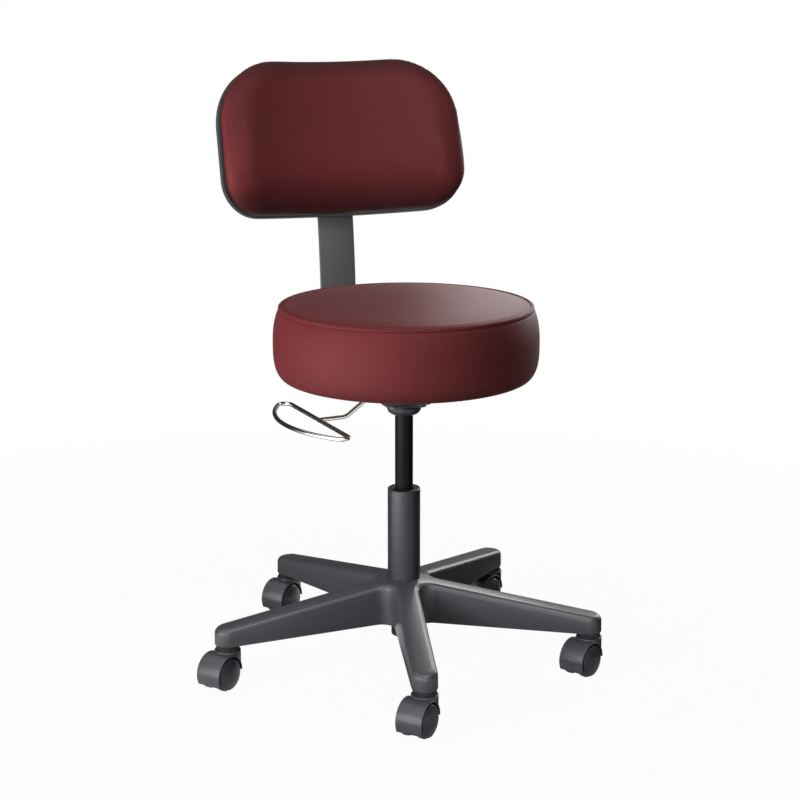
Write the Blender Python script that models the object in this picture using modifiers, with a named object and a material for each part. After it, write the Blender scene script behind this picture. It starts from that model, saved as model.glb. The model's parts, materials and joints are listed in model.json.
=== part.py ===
"""Clinic stool with a backrest, on a gas column and five hooded twin-wheel casters.

Metres, +Z up, floor at z = 0. The sitter faces -Y, so the backrest stands at +Y and the
release lever lies on the sitter's right, at -X.
"""

from math import acos, atan2, cos, floor, pi, radians, sin, sqrt, tan

import bmesh
import bpy
from mathutils import Matrix, Vector

MM = 0.001

# Where the column stands, so that the whole stool is centred on the origin.
COLUMN_AT = (39 * MM, -26.5 * MM)

# Clearances.
FIT = 0.3 * MM  # between pieces that touch or seat on one another
RUNNING = 0.4 * MM  # round a shaft that turns in a bore

# How finely round pieces are divided.
COLUMN_SIDES = 20
SEAT_SIDES = 32
WHEEL_SIDES = 16
HOOD_SIDES = 20
SMALL_SIDES = 10
BACK_STRIPS = 8
BACK_ROWS = 4
ARM_TIP_STEPS = 8
ARM_ROOT_STEPS = 6

# Casters.
WHEEL_RADIUS = 26.2 * MM
WHEEL_WIDTH = 12.5 * MM
WHEEL_DOME = 3.0 * MM
WHEEL_EDGE = 1.4 * MM
WHEEL_GAP = 1.4 * MM  # between the tread and the hood
HOOD_WALL = 1.9 * MM
HOOD_WEB = 16.5 * MM  # body between the two wheels
HOOD_LIP_Z = 9.5 * MM  # lower edge of the hood over the floor
TRAIL = 20.5 * MM  # from the stem back to the axle
STEM_HOUSING_RADIUS = 20.0 * MM
STEM_HOUSING_LENGTH = 31.0 * MM
RIM_RISE = 1.5 * MM  # housing rim over the top of the hood
RIM_WALL = 1.7 * MM
RIM_RECESS = 3.7 * MM
STEM_RADIUS = 5.0 * MM
STEM_IN_HOOD = 22.0 * MM
STEM_IN_ARM = 29.0 * MM
STEM_SHOULDER_RADIUS = 9.0 * MM
AXLE_RADIUS = 3.0 * MM
AXLE_COVER = 4.0 * MM  # wheel left outside the axle's end
CASTER_TURNS = {"front": -139, "right": -149, "rear_right": -146, "rear_left": -144, "left": -143}

# Moulded base.
ARM_COUNT = len(CASTER_TURNS)
BASE_TURN = radians(-14.7)
STEM_CIRCLE = 292.5 * MM
ARM_WIDTH = 38.6 * MM
ARM_DRAFT = 1.2 * MM
ARM_FILLET = 20.0 * MM  # between neighbouring arms, in plan
ARM_EDGE = 8.0 * MM  # rounding of the top edges
ARM_TIP_HEIGHT = 28.5 * MM
ARM_HUB_HEIGHT = 70.5 * MM
ARM_WALL = 4.0 * MM
ARM_RIB = 3.0 * MM
ARM_POCKETS = 3
POCKET_START = 62.0 * MM
POCKET_END = 29.0 * MM  # left solid round the stem socket
COLLAR_RADIUS = 17.2 * MM
COLLAR_DROP = 9.2 * MM
COLLAR_SINK = 0.9 * MM  # collar's foot below the caster's rim

# Gas column.
TUBE_RADIUS = 25.5 * MM
TUBE_WALL = 2.6 * MM
TUBE_LENGTH = 240.0 * MM
TUBE_DROP = 28.0 * MM  # drawn-in foot below the arms
TUBE_FOOT_RADIUS = 20.0 * MM
TUBE_FLOOR = 3.0 * MM
TUBE_CHAMFER = 1.4 * MM
BUSH_LENGTH = 79.0 * MM
BUSH_BELOW = 1.0 * MM  # bush sits this far under the tube's mouth
PISTON_RADIUS = 14.0 * MM
PISTON_WALL = 1.5 * MM
PISTON_SHOWN = 118.0 * MM
PISTON_IN_TUBE = 98.5 * MM
PISTON_ROOF = 6.0 * MM
TAPER_LENGTH = 34.5 * MM
TAPER_IN = 1.1 * MM  # how much the taper narrows
ROD_RADIUS = 5.0 * MM
ROD_PIN_RADIUS = 4.0 * MM
ROD_TOP_Z = 260.0 * MM
BEARING_HEIGHT = 9.0 * MM
BUMP_STOP_HEIGHT = 11.0 * MM
BUMP_STOP_RADIUS = 12.0 * MM
CLIP_RADIUS = 8.0 * MM
CLIP_THICKNESS = 2.6 * MM
CLIP_SLOT = 5.0 * MM
PISTON_HEAD = 11.0 * MM
ROD_GUIDE = 20.0 * MM
VALVE_RADIUS = 3.0 * MM
VALVE_LENGTH = 17.0 * MM
VALVE_SHOWN = 5.5 * MM

# Bent flat-bar upright.
BAR_WIDTH = 61.0 * MM
BAR_THICKNESS = 5.0 * MM
BAR_FRONT = 23.0 * MM  # in front of the column
BAR_CORNER = 9.0 * MM
BAR_BACK = 313.0 * MM  # its upright leg's centre behind the column
BAR_BEND = 47.5 * MM
BAR_SWEEP = 1320.0 * MM  # slow bend above the seat
BAR_SWEEP_ANGLE = radians(8.8)
BAR_TOP_BEND = 460.0 * MM
BACK_LEAN = radians(15)
BAR_TOP_LEG = 150.0 * MM
BACK_ALONG_LEG = 72.0 * MM  # centre of the back pad, up the top leg

# Taper socket, bracket and lever.
CUP_RADIUS = 28.0 * MM
CUP_DEPTH = 12.7 * MM
SOCKET_NECK = 18.0 * MM
BRACKET_SHEET = 2.8 * MM
BRACKET_HEIGHT = 42.0 * MM
BRACKET_LENGTH = 150.0 * MM
BRACKET_FOOT = 62.0 * MM
BRACKET_CHANNEL = 70.0 * MM
BRACKET_FLANGE = 25.0 * MM
SCREW_PITCH = 110.0 * MM
SCREW_RADIUS = 2.3 * MM
SCREW_HEAD_RADIUS = 4.5 * MM
SCREW_HEAD = 3.5 * MM
SCREW_GRIP = 8.5 * MM  # into the board
BOLT_PITCH = 42.0 * MM
BOLT_RADIUS = 2.8 * MM
BOLT_HEAD_RADIUS = 5.6 * MM
BOLT_PROUD = 4.5 * MM
LEVER_ROD = 3.4 * MM
LEVER_PIVOT_X = -30.0 * MM
LEVER_PAST_VALVE = 8.0 * MM
LEVER_SHOULDER = 11.0 * MM  # level stretch outside the pivot
LEVER_SLOPE = 56.0 * MM
LEVER_DROP = 38.5 * MM
LEVER_BEND = 20.0 * MM
LEVER_TURN = radians(5)
RING_ARC = 198.5 * MM
RING_CHORD = 142.0 * MM
RING_CORNER = 11.0 * MM
SLEEVE_RADIUS = 5.5 * MM
SLEEVE_LENGTH = 30.0 * MM
PIVOT_RADIUS = 2.2 * MM
PIVOT_HEAD_RADIUS = 4.0 * MM
PIVOT_HEAD = 2.0 * MM
PIVOT_PROUD = 3.0 * MM

# Seat.
SEAT_FORWARD = 9.0 * MM
SEAT_RADIUS = 203.4 * MM
SEAT_SEAM_RADIUS = 193.4 * MM
SEAT_HEIGHT = 110.0 * MM  # underside to seam
SEAT_CROWN = 5.5 * MM
SEAT_BEAD = 4.2 * MM
SEAT_BULGE_AT = 60.0 * MM  # widest, over the underside
SEAT_LIP = 15.0 * MM  # cover turned in under the board's edge
SEAT_ROLL = 22.0 * MM  # rounding at the lower edge
COVER = 2.0 * MM
SEAT_BOARD = 12.0 * MM

# Backrest.
BACK_WIDTH = 408.0 * MM
BACK_HEIGHT = 249.0 * MM
BACK_TOP_CORNER = 106.0 * MM
BACK_BOTTOM_CORNER = 60.0 * MM
BACK_CURVE = 520.0 * MM  # radius of the hollow for the sitter's back
BACK_CROWN = 9.0 * MM
BACK_FRONT_EDGE = 22.0 * MM
BACK_REAR_EDGE = 7.0 * MM
BACK_PAD = 38.0 * MM  # thickness of the pad at its sides
BACK_BOARD = 9.0 * MM
BACK_BOARD_INSET = 12.0 * MM
FOAM_SLACK = 1.0 * MM  # between the foam and its cover
SHELL_DEPTH = 24.0 * MM
SHELL_EDGE = 12.0 * MM
SHELL_WALL = 2.5 * MM
SHELL_PROUD = 1.5 * MM  # rim outside the pad
BOSS_RADIUS = 7.0 * MM
BACK_BOLT_PITCH = 70.0 * MM
BACK_BOLT_RADIUS = 2.8 * MM
BACK_BOLT_GRIP = 6.0 * MM

# Heights, from the floor up.
AXLE_Z = WHEEL_RADIUS
HOOD_RADIUS = WHEEL_RADIUS + WHEEL_GAP + HOOD_WALL
HOOD_BORE = WHEEL_RADIUS + WHEEL_GAP
RIM_Z = AXLE_Z + HOOD_RADIUS + RIM_RISE
COLLAR_Z = RIM_Z - COLLAR_SINK
ARM_Z = COLLAR_Z + COLLAR_DROP
TUBE_FOOT_Z = ARM_Z - TUBE_DROP
TUBE_TOP_Z = TUBE_FOOT_Z + TUBE_LENGTH
SOCKET_Z = TUBE_TOP_Z + PISTON_SHOWN
BAR_Z = SOCKET_Z + CUP_DEPTH + FIT
BRACKET_Z = BAR_Z + BAR_THICKNESS + FIT
SEAT_Z = BRACKET_Z + BRACKET_HEIGHT + FIT
PISTON_TOP_Z = SOCKET_Z + TAPER_LENGTH
VALVE_TOP_Z = PISTON_TOP_Z + VALVE_SHOWN
LEVER_Z = VALVE_TOP_Z + FIT + LEVER_ROD

# Bolts behind the column, with their heads clear of the socket's cup.
BOLT_BEHIND = sqrt((CUP_RADIUS + BOLT_HEAD_RADIUS + 2 * FIT) ** 2 - (BOLT_PITCH / 2) ** 2)


def fresh_collection(name):
    collection = bpy.data.collections.new(name)
    bpy.context.scene.collection.children.link(collection)
    return collection


for old in list(bpy.data.objects):
    bpy.data.objects.remove(old)
PARTS = fresh_collection("stool_with_backrest")
CUTTERS = fresh_collection("cutters")
CUTTERS.hide_render = True


def finish(name, colour, roughness, metallic=0.0):
    """A plain Principled material."""
    material = bpy.data.materials.new(name)
    material.use_nodes = True
    shader = material.node_tree.nodes["Principled BSDF"]
    shader.inputs["Base Color"].default_value = (*colour, 1.0)
    shader.inputs["Roughness"].default_value = roughness
    shader.inputs["Metallic"].default_value = metallic
    return material


VINYL = finish("burgundy_vinyl", (0.115, 0.024, 0.028), 0.45)
FOAM = finish("foam", (0.62, 0.56, 0.40), 0.95)
PLYWOOD = finish("plywood", (0.36, 0.24, 0.13), 0.7)
SHELL_PLASTIC = finish("shell_plastic", (0.055, 0.062, 0.068), 0.5)
BASE_PLASTIC = finish("base_plastic", (0.075, 0.080, 0.088), 0.42)
HOOD_PLASTIC = finish("hood_plastic", (0.070, 0.075, 0.082), 0.40)
WHEEL_PLASTIC = finish("wheel_plastic", (0.022, 0.023, 0.026), 0.35)
BUSH_PLASTIC = finish("bush_plastic", (0.015, 0.015, 0.016), 0.5)
RUBBER = finish("rubber", (0.012, 0.012, 0.012), 0.85)
TUBE_PAINT = finish("tube_paint", (0.060, 0.064, 0.070), 0.45)
PISTON_BLACK = finish("piston_black", (0.010, 0.011, 0.012), 0.30, 0.6)
BAR_PAINT = finish("bar_paint", (0.085, 0.085, 0.084), 0.45, 0.1)
BRACKET_PAINT = finish("bracket_paint", (0.030, 0.033, 0.037), 0.45)
CHROME = finish("chrome", (0.80, 0.81, 0.83), 0.07, 1.0)
STEEL = finish("bright_steel", (0.45, 0.46, 0.47), 0.28, 1.0)


def add(name, mesh, material=None, parent=None):
    """An object in the parts when it has a material, or a hidden cutter or pattern."""
    obj = bpy.data.objects.new(name, mesh)
    if material is None:
        CUTTERS.objects.link(obj)
        obj.hide_render = True
        obj.display_type = "WIRE"
    else:
        PARTS.objects.link(obj)
        mesh.materials.clear()
        mesh.materials.append(material)
    obj.parent = parent
    return obj


def empty(name, location, parent=None, rotation=(0, 0, 0)):
    obj = bpy.data.objects.new(name, None)
    PARTS.objects.link(obj)
    obj.location = location
    obj.rotation_euler = rotation
    obj.parent = parent
    return obj


def mesh_from(bm, name, smooth_angle=radians(40)):
    """A mesh out of a bmesh, with its faces turned outward and its round faces smooth."""
    bmesh.ops.recalc_face_normals(bm, faces=bm.faces)
    mesh = bpy.data.meshes.new(name)
    bm.to_mesh(mesh)
    bm.free()
    mesh.shade_smooth()
    mesh.set_sharp_from_angle(angle=smooth_angle)
    return mesh


def baked(obj):
    """The mesh of an object with its modifiers and its place applied."""
    bpy.context.view_layer.update()
    graph = bpy.context.evaluated_depsgraph_get()
    mesh = bpy.data.meshes.new_from_object(obj.evaluated_get(graph))
    mesh.transform(obj.matrix_world)
    bm = bmesh.new()
    bm.from_mesh(mesh)
    bmesh.ops.remove_doubles(bm, verts=bm.verts, dist=1e-6)
    bm.to_mesh(mesh)
    bm.free()
    mesh.shade_smooth()
    mesh.set_sharp_from_angle(angle=radians(40))
    return mesh


def turned(name, profile, sides, material=None, parent=None, ring=False):
    """A body turned about Z from (radius, height) points that run down its outer side.

    A ring's profile is a closed loop. Any other starts and ends on the axis.
    """
    mesh = bpy.data.meshes.new(name)
    count = len(profile)
    edges = [(i, (i + 1) % count) for i in range(count if ring else count - 1)]
    mesh.from_pydata([(r, 0, z) for r, z in profile], edges, [])
    obj = add(name, mesh, material, parent)
    screw = obj.modifiers.new("turn", "SCREW")
    screw.steps = screw.render_steps = sides
    screw.use_merge_vertices = True
    screw.merge_threshold = 1e-5
    return obj


def rod(name, radius, low, high, sides, material=None, parent=None):
    """A plain round bar along Z."""
    bm = bmesh.new()
    middle = Matrix.Translation((0, 0, (low + high) / 2))
    bmesh.ops.create_cone(
        bm, cap_ends=True, segments=sides, radius1=radius, radius2=radius,
        depth=high - low, matrix=middle)
    return add(name, mesh_from(bm, name), material, parent)


def box(name, low, high, parent=None):
    """A cutter with the two given corners."""
    bm = bmesh.new()
    bmesh.ops.create_cube(bm, size=1)
    low, high = Vector(low), Vector(high)
    for vert in bm.verts:
        vert.co = [a + (b - a) * (c + 0.5) for a, b, c in zip(low, high, vert.co)]
    return add(name, mesh_from(bm, name), parent=parent)


def prism(name, outline, depth, parent=None):
    """A cutter with an outline in X and Z, carried along Y for half the depth each way."""
    bm = bmesh.new()
    face = bm.faces.new([bm.verts.new((x, -depth / 2, z)) for x, z in outline])
    moved = bmesh.ops.extrude_face_region(bm, geom=[face])["geom"]
    verts = [v for v in moved if isinstance(v, bmesh.types.BMVert)]
    bmesh.ops.translate(bm, vec=(0, depth, 0), verts=verts)
    return add(name, mesh_from(bm, name), parent=parent)


def combine(obj, other, operation="DIFFERENCE"):
    """Cuts the other object from this one, or joins it on."""
    modifier = obj.modifiers.new(other.name, "BOOLEAN")
    modifier.operation = operation
    modifier.solver = "EXACT"
    modifier.object = other
    return obj


def turn_to(obj, axis):
    """Lays a body that was made along Z along another axis."""
    obj.matrix_local = Vector(axis).to_track_quat("Z", "Y").to_matrix().to_4x4()
    return obj


def arc(centre, radius, start, end, steps):
    """Points round an arc, both ends included."""
    angles = [start + (end - start) * i / steps for i in range(steps + 1)]
    return [(centre[0] + radius * cos(a), centre[1] + radius * sin(a)) for a in angles]


def rounded_path(points, radius, steps):
    """A path with each inner corner replaced by an arc."""
    points = [Vector(p) for p in points]
    path = [points[0]]
    for before, corner, after in zip(points, points[1:], points[2:]):
        back, on = (before - corner).normalized(), (after - corner).normalized()
        half = acos(max(-1.0, min(1.0, back.dot(on)))) / 2
        reach = radius / tan(half)
        centre = corner + (back + on).normalized() * (radius / sin(half))
        start, end = corner + back * reach - centre, corner + on * reach - centre
        turn = start.angle(end)
        for i in range(steps + 1):
            share = i / steps
            spoke = start * sin((1 - share) * turn) + end * sin(share * turn)
            path.append(centre + spoke / sin(turn))
    return path + [points[-1]]


def wire(name, path, radius, closed=False):
    """A round bar along a path, as a closed mesh."""
    curve = bpy.data.curves.new(name, "CURVE")
    curve.dimensions = "3D"
    curve.bevel_depth = radius
    curve.bevel_resolution = 1
    curve.use_fill_caps = True
    spline = curve.splines.new("POLY")
    spline.points.add(len(path) - 1)
    spline.use_cyclic_u = closed
    for point, place in zip(spline.points, path):
        point.co = (*place, 1)
    guide = add(name + "_path", curve)
    obj = add(name, baked(guide))
    bpy.data.objects.remove(guide)
    return obj


def arm_frame(index):
    """From an arm's own frame, with the arm along +X, to the stool's."""
    return Matrix.Rotation(BASE_TURN + index * 2 * pi / ARM_COUNT - pi / 2, 4, "Z")


def star_outline(draft):
    """Plan of the base, drawn in all round by the draft."""
    half = ARM_WIDTH / 2 - draft
    fillet = ARM_FILLET + draft
    between = pi / ARM_COUNT
    reach = (half + fillet) / sin(between)
    root = (reach * cos(between), reach * sin(between))
    one_arm = arc((STEM_CIRCLE, 0), half, -pi / 2, pi / 2, ARM_TIP_STEPS)
    one_arm += arc(root, fillet, 1.5 * pi, pi / 2 + 2 * between, ARM_ROOT_STEPS)
    plan = []
    for index in range(ARM_COUNT):
        plan += [arm_frame(index) @ Vector((x, y, 0)) for x, y in one_arm]
    return plan


def arm_top(along):
    """Height of the arms' top at a distance from the column."""
    return ARM_Z + ARM_HUB_HEIGHT + (ARM_TIP_HEIGHT - ARM_HUB_HEIGHT) * along / STEM_CIRCLE


def along_arm(place):
    """Distance from the column, measured along the nearest arm."""
    return max(place.dot(arm_frame(i).col[0].to_3d()) for i in range(ARM_COUNT))


def per_arm(name, make):
    """One cutter or join that holds a copy of a small body at every arm."""
    bm = bmesh.new()
    for index in range(ARM_COUNT):
        piece = bmesh.new()
        make(piece)
        bmesh.ops.transform(piece, matrix=arm_frame(index), verts=piece.verts)
        copy = bpy.data.meshes.new("copy")
        piece.to_mesh(copy)
        piece.free()
        bm.from_mesh(copy)
        bpy.data.meshes.remove(copy)
    return add(name, mesh_from(bm, name), parent=STOOL)


def stem_column(radius, low, high, sides):
    """A round body on an arm's stem axis."""
    middle = Matrix.Translation((STEM_CIRCLE, 0, (low + high) / 2))

    def make(bm):
        bmesh.ops.create_cone(
            bm, cap_ends=True, segments=sides, radius1=radius, radius2=radius,
            depth=high - low, matrix=middle)
    return make


def arm_pockets(bm):
    """The hollows under one arm, parted by cross ribs."""
    span = STEM_CIRCLE - POCKET_END - POCKET_START
    pitch = (span + ARM_RIB) / ARM_POCKETS
    for index in range(ARM_POCKETS):
        start = POCKET_START + index * pitch
        cube = bmesh.ops.create_cube(bm, size=1)["verts"]
        for vert in cube:
            upper = vert.co.z > 0
            x = start + (vert.co.x + 0.5) * (pitch - ARM_RIB)
            half = ARM_WIDTH / 2 - ARM_WALL - (ARM_WALL if upper else 0)
            roof = arm_top(x) - ARM_WALL
            vert.co = (x, 2 * vert.co.y * half, roof if upper else ARM_Z - COLLAR_DROP)


def base_star():
    """Five-arm moulded base: sloping arms, hollow below, with hub bore and stem sockets."""
    bm = bmesh.new()
    foot = [bm.verts.new((p.x, p.y, ARM_Z)) for p in star_outline(0)]
    top = [bm.verts.new((p.x, p.y, arm_top(along_arm(p)))) for p in star_outline(ARM_DRAFT)]
    bm.faces.new(foot)
    roof = bm.faces.new(top)
    count = len(top)
    for i in range(count):
        bm.faces.new((foot[i], foot[(i + 1) % count], top[(i + 1) % count], top[i]))
    edge_loop = list(roof.edges)
    per_side = count // ARM_COUNT
    for index in range(ARM_COUNT):
        right_tip = index * per_side
        left_tip = right_tip + ARM_TIP_STEPS
        root_left, root_right = top[left_tip + 1], top[right_tip - 1]
        bmesh.ops.connect_vert_pair(bm, verts=[root_left, root_right])
        bmesh.ops.connect_vert_pair(bm, verts=[top[left_tip], top[right_tip]])
    hub = max(bm.faces, key=lambda face: len(set(face.verts) & set(top)))
    centre = bmesh.ops.poke(bm, faces=[hub])["verts"][0]
    centre.co = (0, 0, arm_top(0))
    bmesh.ops.bevel(
        bm, geom=edge_loop, offset=ARM_EDGE, offset_type="OFFSET", segments=3, profile=0.5,
        affect="EDGES", clamp_overlap=True)
    star = add("base_star", mesh_from(bm, "base_star"), BASE_PLASTIC, STOOL)
    combine(star, per_arm("arm_pockets", arm_pockets))
    collar = stem_column(COLLAR_RADIUS, COLLAR_Z, ARM_Z + ARM_WALL, COLUMN_SIDES)
    combine(star, per_arm("stem_collars", collar), "UNION")
    socket_top = COLLAR_Z + STEM_IN_ARM + FIT
    socket = stem_column(STEM_RADIUS + FIT, COLLAR_Z - ARM_WALL, socket_top, SMALL_SIDES)
    combine(star, per_arm("stem_sockets", socket))
    above_hub = 2 * ARM_Z + ARM_HUB_HEIGHT
    combine(star, rod("hub_bore", TUBE_RADIUS + FIT, 0, above_hub, COLUMN_SIDES, parent=STOOL))


def column():
    """Outer tube, guide bush and the bearing in the tube's foot, all on the base."""
    inner = TUBE_RADIUS - TUBE_WALL
    foot_inner = TUBE_FOOT_RADIUS - TUBE_WALL
    step = TUBE_RADIUS - TUBE_FOOT_RADIUS
    neck_z = ARM_Z - step
    floor_z = TUBE_FOOT_Z + TUBE_FLOOR
    hole = ROD_PIN_RADIUS + RUNNING
    turned("outer_tube", [
        (inner, TUBE_TOP_Z),
        (TUBE_RADIUS - TUBE_CHAMFER, TUBE_TOP_Z),
        (TUBE_RADIUS, TUBE_TOP_Z - TUBE_CHAMFER),
        (TUBE_RADIUS, ARM_Z),
        (TUBE_FOOT_RADIUS, neck_z),
        (TUBE_FOOT_RADIUS, TUBE_FOOT_Z + TUBE_WALL),
        (foot_inner, TUBE_FOOT_Z),
        (hole, TUBE_FOOT_Z),
        (hole, floor_z),
        (foot_inner, floor_z),
        (foot_inner, neck_z + TUBE_WALL),
        (inner, ARM_Z + TUBE_WALL),
    ], COLUMN_SIDES, TUBE_PAINT, STOOL, ring=True)

    bush_top = TUBE_TOP_Z - BUSH_BELOW
    bush_bore = PISTON_RADIUS + RUNNING
    bush_radius = inner - FIT
    turned("guide_bush", [
        (bush_bore + TUBE_CHAMFER, bush_top),
        (bush_radius, bush_top),
        (bush_radius, bush_top - BUSH_LENGTH),
        (bush_bore, bush_top - BUSH_LENGTH),
        (bush_bore, bush_top - TUBE_CHAMFER),
    ], COLUMN_SIDES, BUSH_PLASTIC, STOOL, ring=True)

    bearing_z = floor_z + FIT
    turned("thrust_bearing", [
        (hole, bearing_z + BEARING_HEIGHT),
        (foot_inner - FIT, bearing_z + BEARING_HEIGHT),
        (foot_inner - FIT, bearing_z),
        (hole, bearing_z),
    ], COLUMN_SIDES, STEEL, STOOL, ring=True)
    return bearing_z + BEARING_HEIGHT + FIT


def spindle(shoulder_z):
    """Piston rod that turns on the bearing, with its stop, head and clip."""
    head_z = ROD_TOP_Z - PISTON_HEAD
    clip_top = TUBE_FOOT_Z - FIT
    turned("piston_rod", [
        (0, ROD_TOP_Z),
        (ROD_PIN_RADIUS, ROD_TOP_Z),
        (ROD_PIN_RADIUS, head_z - FIT),
        (ROD_RADIUS, head_z - FIT),
        (ROD_RADIUS, shoulder_z),
        (ROD_PIN_RADIUS, shoulder_z),
        (ROD_PIN_RADIUS, clip_top - 2 * CLIP_THICKNESS),
        (0, clip_top - 2 * CLIP_THICKNESS),
    ], SMALL_SIDES, STEEL, STOOL)
    head_radius = PISTON_RADIUS - PISTON_WALL - RUNNING
    turned("piston_head", [
        (ROD_PIN_RADIUS + FIT, ROD_TOP_Z),
        (head_radius, ROD_TOP_Z),
        (head_radius, head_z),
        (ROD_PIN_RADIUS + FIT, head_z),
    ], COLUMN_SIDES, BUSH_PLASTIC, STOOL, ring=True)
    turned("bump_stop", [
        (ROD_RADIUS + FIT, shoulder_z + BUMP_STOP_HEIGHT),
        (0.8 * BUMP_STOP_RADIUS, shoulder_z + BUMP_STOP_HEIGHT),
        (BUMP_STOP_RADIUS, shoulder_z),
        (ROD_RADIUS + FIT, shoulder_z),
    ], COLUMN_SIDES, RUBBER, STOOL, ring=True)
    clip = turned("rod_clip", [
        (ROD_PIN_RADIUS + FIT, clip_top),
        (CLIP_RADIUS, clip_top),
        (CLIP_RADIUS, clip_top - CLIP_THICKNESS),
        (ROD_PIN_RADIUS + FIT, clip_top - CLIP_THICKNESS),
    ], COLUMN_SIDES, STEEL, STOOL, ring=True)
    slot_low = (0, -CLIP_SLOT / 2, clip_top - 2 * CLIP_THICKNESS)
    slot_high = (2 * CLIP_RADIUS, CLIP_SLOT / 2, clip_top + CLIP_THICKNESS)
    combine(clip, box("clip_slot", slot_low, slot_high, STOOL))


def pressure_tube():
    """Black inner tube that carries the seat, with its rod guide and valve pin."""
    foot_z = TUBE_TOP_Z - PISTON_IN_TUBE
    inner = PISTON_RADIUS - PISTON_WALL
    valve_hole = VALVE_RADIUS + RUNNING
    turned("pressure_tube", [
        (valve_hole, PISTON_TOP_Z),
        (PISTON_RADIUS - TAPER_IN, PISTON_TOP_Z),
        (PISTON_RADIUS, SOCKET_Z),
        (PISTON_RADIUS, foot_z),
        (inner, foot_z),
        (inner, SOCKET_Z),
        (inner - TAPER_IN, PISTON_TOP_Z - PISTON_ROOF),
        (valve_hole, PISTON_TOP_Z - PISTON_ROOF),
    ], COLUMN_SIDES, PISTON_BLACK, STOOL, ring=True)
    turned("rod_guide", [
        (ROD_RADIUS + RUNNING, foot_z + ROD_GUIDE),
        (inner - FIT, foot_z + ROD_GUIDE),
        (inner - FIT, foot_z),
        (ROD_RADIUS + RUNNING, foot_z),
    ], COLUMN_SIDES, BUSH_PLASTIC, STOOL, ring=True)
    crown = VALVE_RADIUS / 2
    turned("valve_pin", [
        (0, VALVE_TOP_Z),
        (crown, VALVE_TOP_Z),
        (VALVE_RADIUS, VALVE_TOP_Z - crown),
        (VALVE_RADIUS, VALVE_TOP_Z - VALVE_LENGTH),
        (0, VALVE_TOP_Z - VALVE_LENGTH),
    ], SMALL_SIDES, STEEL, STOOL)


def taper_socket():
    """Cup under the upright that takes the column's taper and stands up into the bracket."""
    flange_z = SOCKET_Z + CUP_DEPTH
    mouth = PISTON_RADIUS + FIT
    top_z = PISTON_TOP_Z - FIT
    turned("taper_socket", [
        (mouth - TAPER_IN, top_z),
        (SOCKET_NECK, top_z),
        (SOCKET_NECK, flange_z),
        (CUP_RADIUS, flange_z),
        (0.96 * CUP_RADIUS, SOCKET_Z + 0.78 * CUP_DEPTH),
        (0.83 * CUP_RADIUS, SOCKET_Z + 0.42 * CUP_DEPTH),
        (0.64 * CUP_RADIUS, SOCKET_Z + 0.06 * CUP_DEPTH),
        (mouth + FIT, SOCKET_Z),
        (mouth, SOCKET_Z),
    ], COLUMN_SIDES, BRACKET_PAINT, STOOL, ring=True)


def bar_path():
    """Middle of the bent bar from its front end to its top, as (y, z) with its heading."""
    y, z, heading = -BAR_FRONT, BAR_Z + BAR_THICKNESS / 2, 0.0
    path = [(y, z, heading)]

    def straight(length):
        nonlocal y, z
        y, z = y + length * cos(heading), z + length * sin(heading)
        path.append((y, z, heading))

    def bend(radius, angle, steps):
        nonlocal y, z, heading
        for _ in range(steps):
            middle = heading + angle / steps / 2
            chord = 2 * radius * sin(abs(angle) / steps / 2)
            y, z = y + chord * cos(middle), z + chord * sin(middle)
            heading += angle / steps
            path.append((y, z, heading))

    straight(BAR_FRONT + BAR_BACK - BAR_BEND)
    bend(BAR_BEND, pi / 2, 8)
    bend(BAR_SWEEP, -BAR_SWEEP_ANGLE, 5)
    bend(BAR_TOP_BEND, BAR_SWEEP_ANGLE - BACK_LEAN, 4)
    straight(BAR_TOP_LEG)
    return path


def back_upright():
    """Flat bar that runs from under the seat round behind it and up to the back pad."""
    bm = bmesh.new()
    path = bar_path()
    rows = []
    for y, z, _ in path:
        rows.append([bm.verts.new((x, y, z)) for x in (-BAR_WIDTH / 2, BAR_WIDTH / 2)])
    for (a, b), (c, d) in zip(rows, rows[1:]):
        bm.faces.new((a, b, d, c))
    bmesh.ops.bevel(
        bm, geom=rows[0] + rows[-1], offset=BAR_CORNER, segments=3, profile=0.5,
        affect="VERTICES")
    bar = add("back_upright", mesh_from(bm, "back_upright"), BAR_PAINT, STOOL)
    thick = bar.modifiers.new("thickness", "SOLIDIFY")
    thick.thickness = BAR_THICKNESS
    thick.offset = 0
    thick.use_even_offset = True
    low, high = BAR_Z - BAR_THICKNESS, BAR_Z + 2 * BAR_THICKNESS
    combine(bar, rod("bar_socket_hole", SOCKET_NECK + FIT, low, high, COLUMN_SIDES, parent=STOOL))
    for side in (-1, 1):
        hole = rod(f"bar_bolt_hole{side}", BOLT_RADIUS + FIT, low, high, SMALL_SIDES, parent=STOOL)
        hole.location = (side * BOLT_PITCH / 2, BOLT_BEHIND, 0)
        combine(bar, hole)
    for side in (-1, 1):
        hole = rod(
            f"bar_back_hole{side}", BACK_BOLT_RADIUS + FIT, -2 * BAR_THICKNESS,
            3 * BAR_THICKNESS, SMALL_SIDES, parent=BACK)
        turn_to(hole, (0, 1, 0))
        hole.location = (0, 0, side * BACK_BOLT_PITCH / 2)
        combine(bar, hole)


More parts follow.
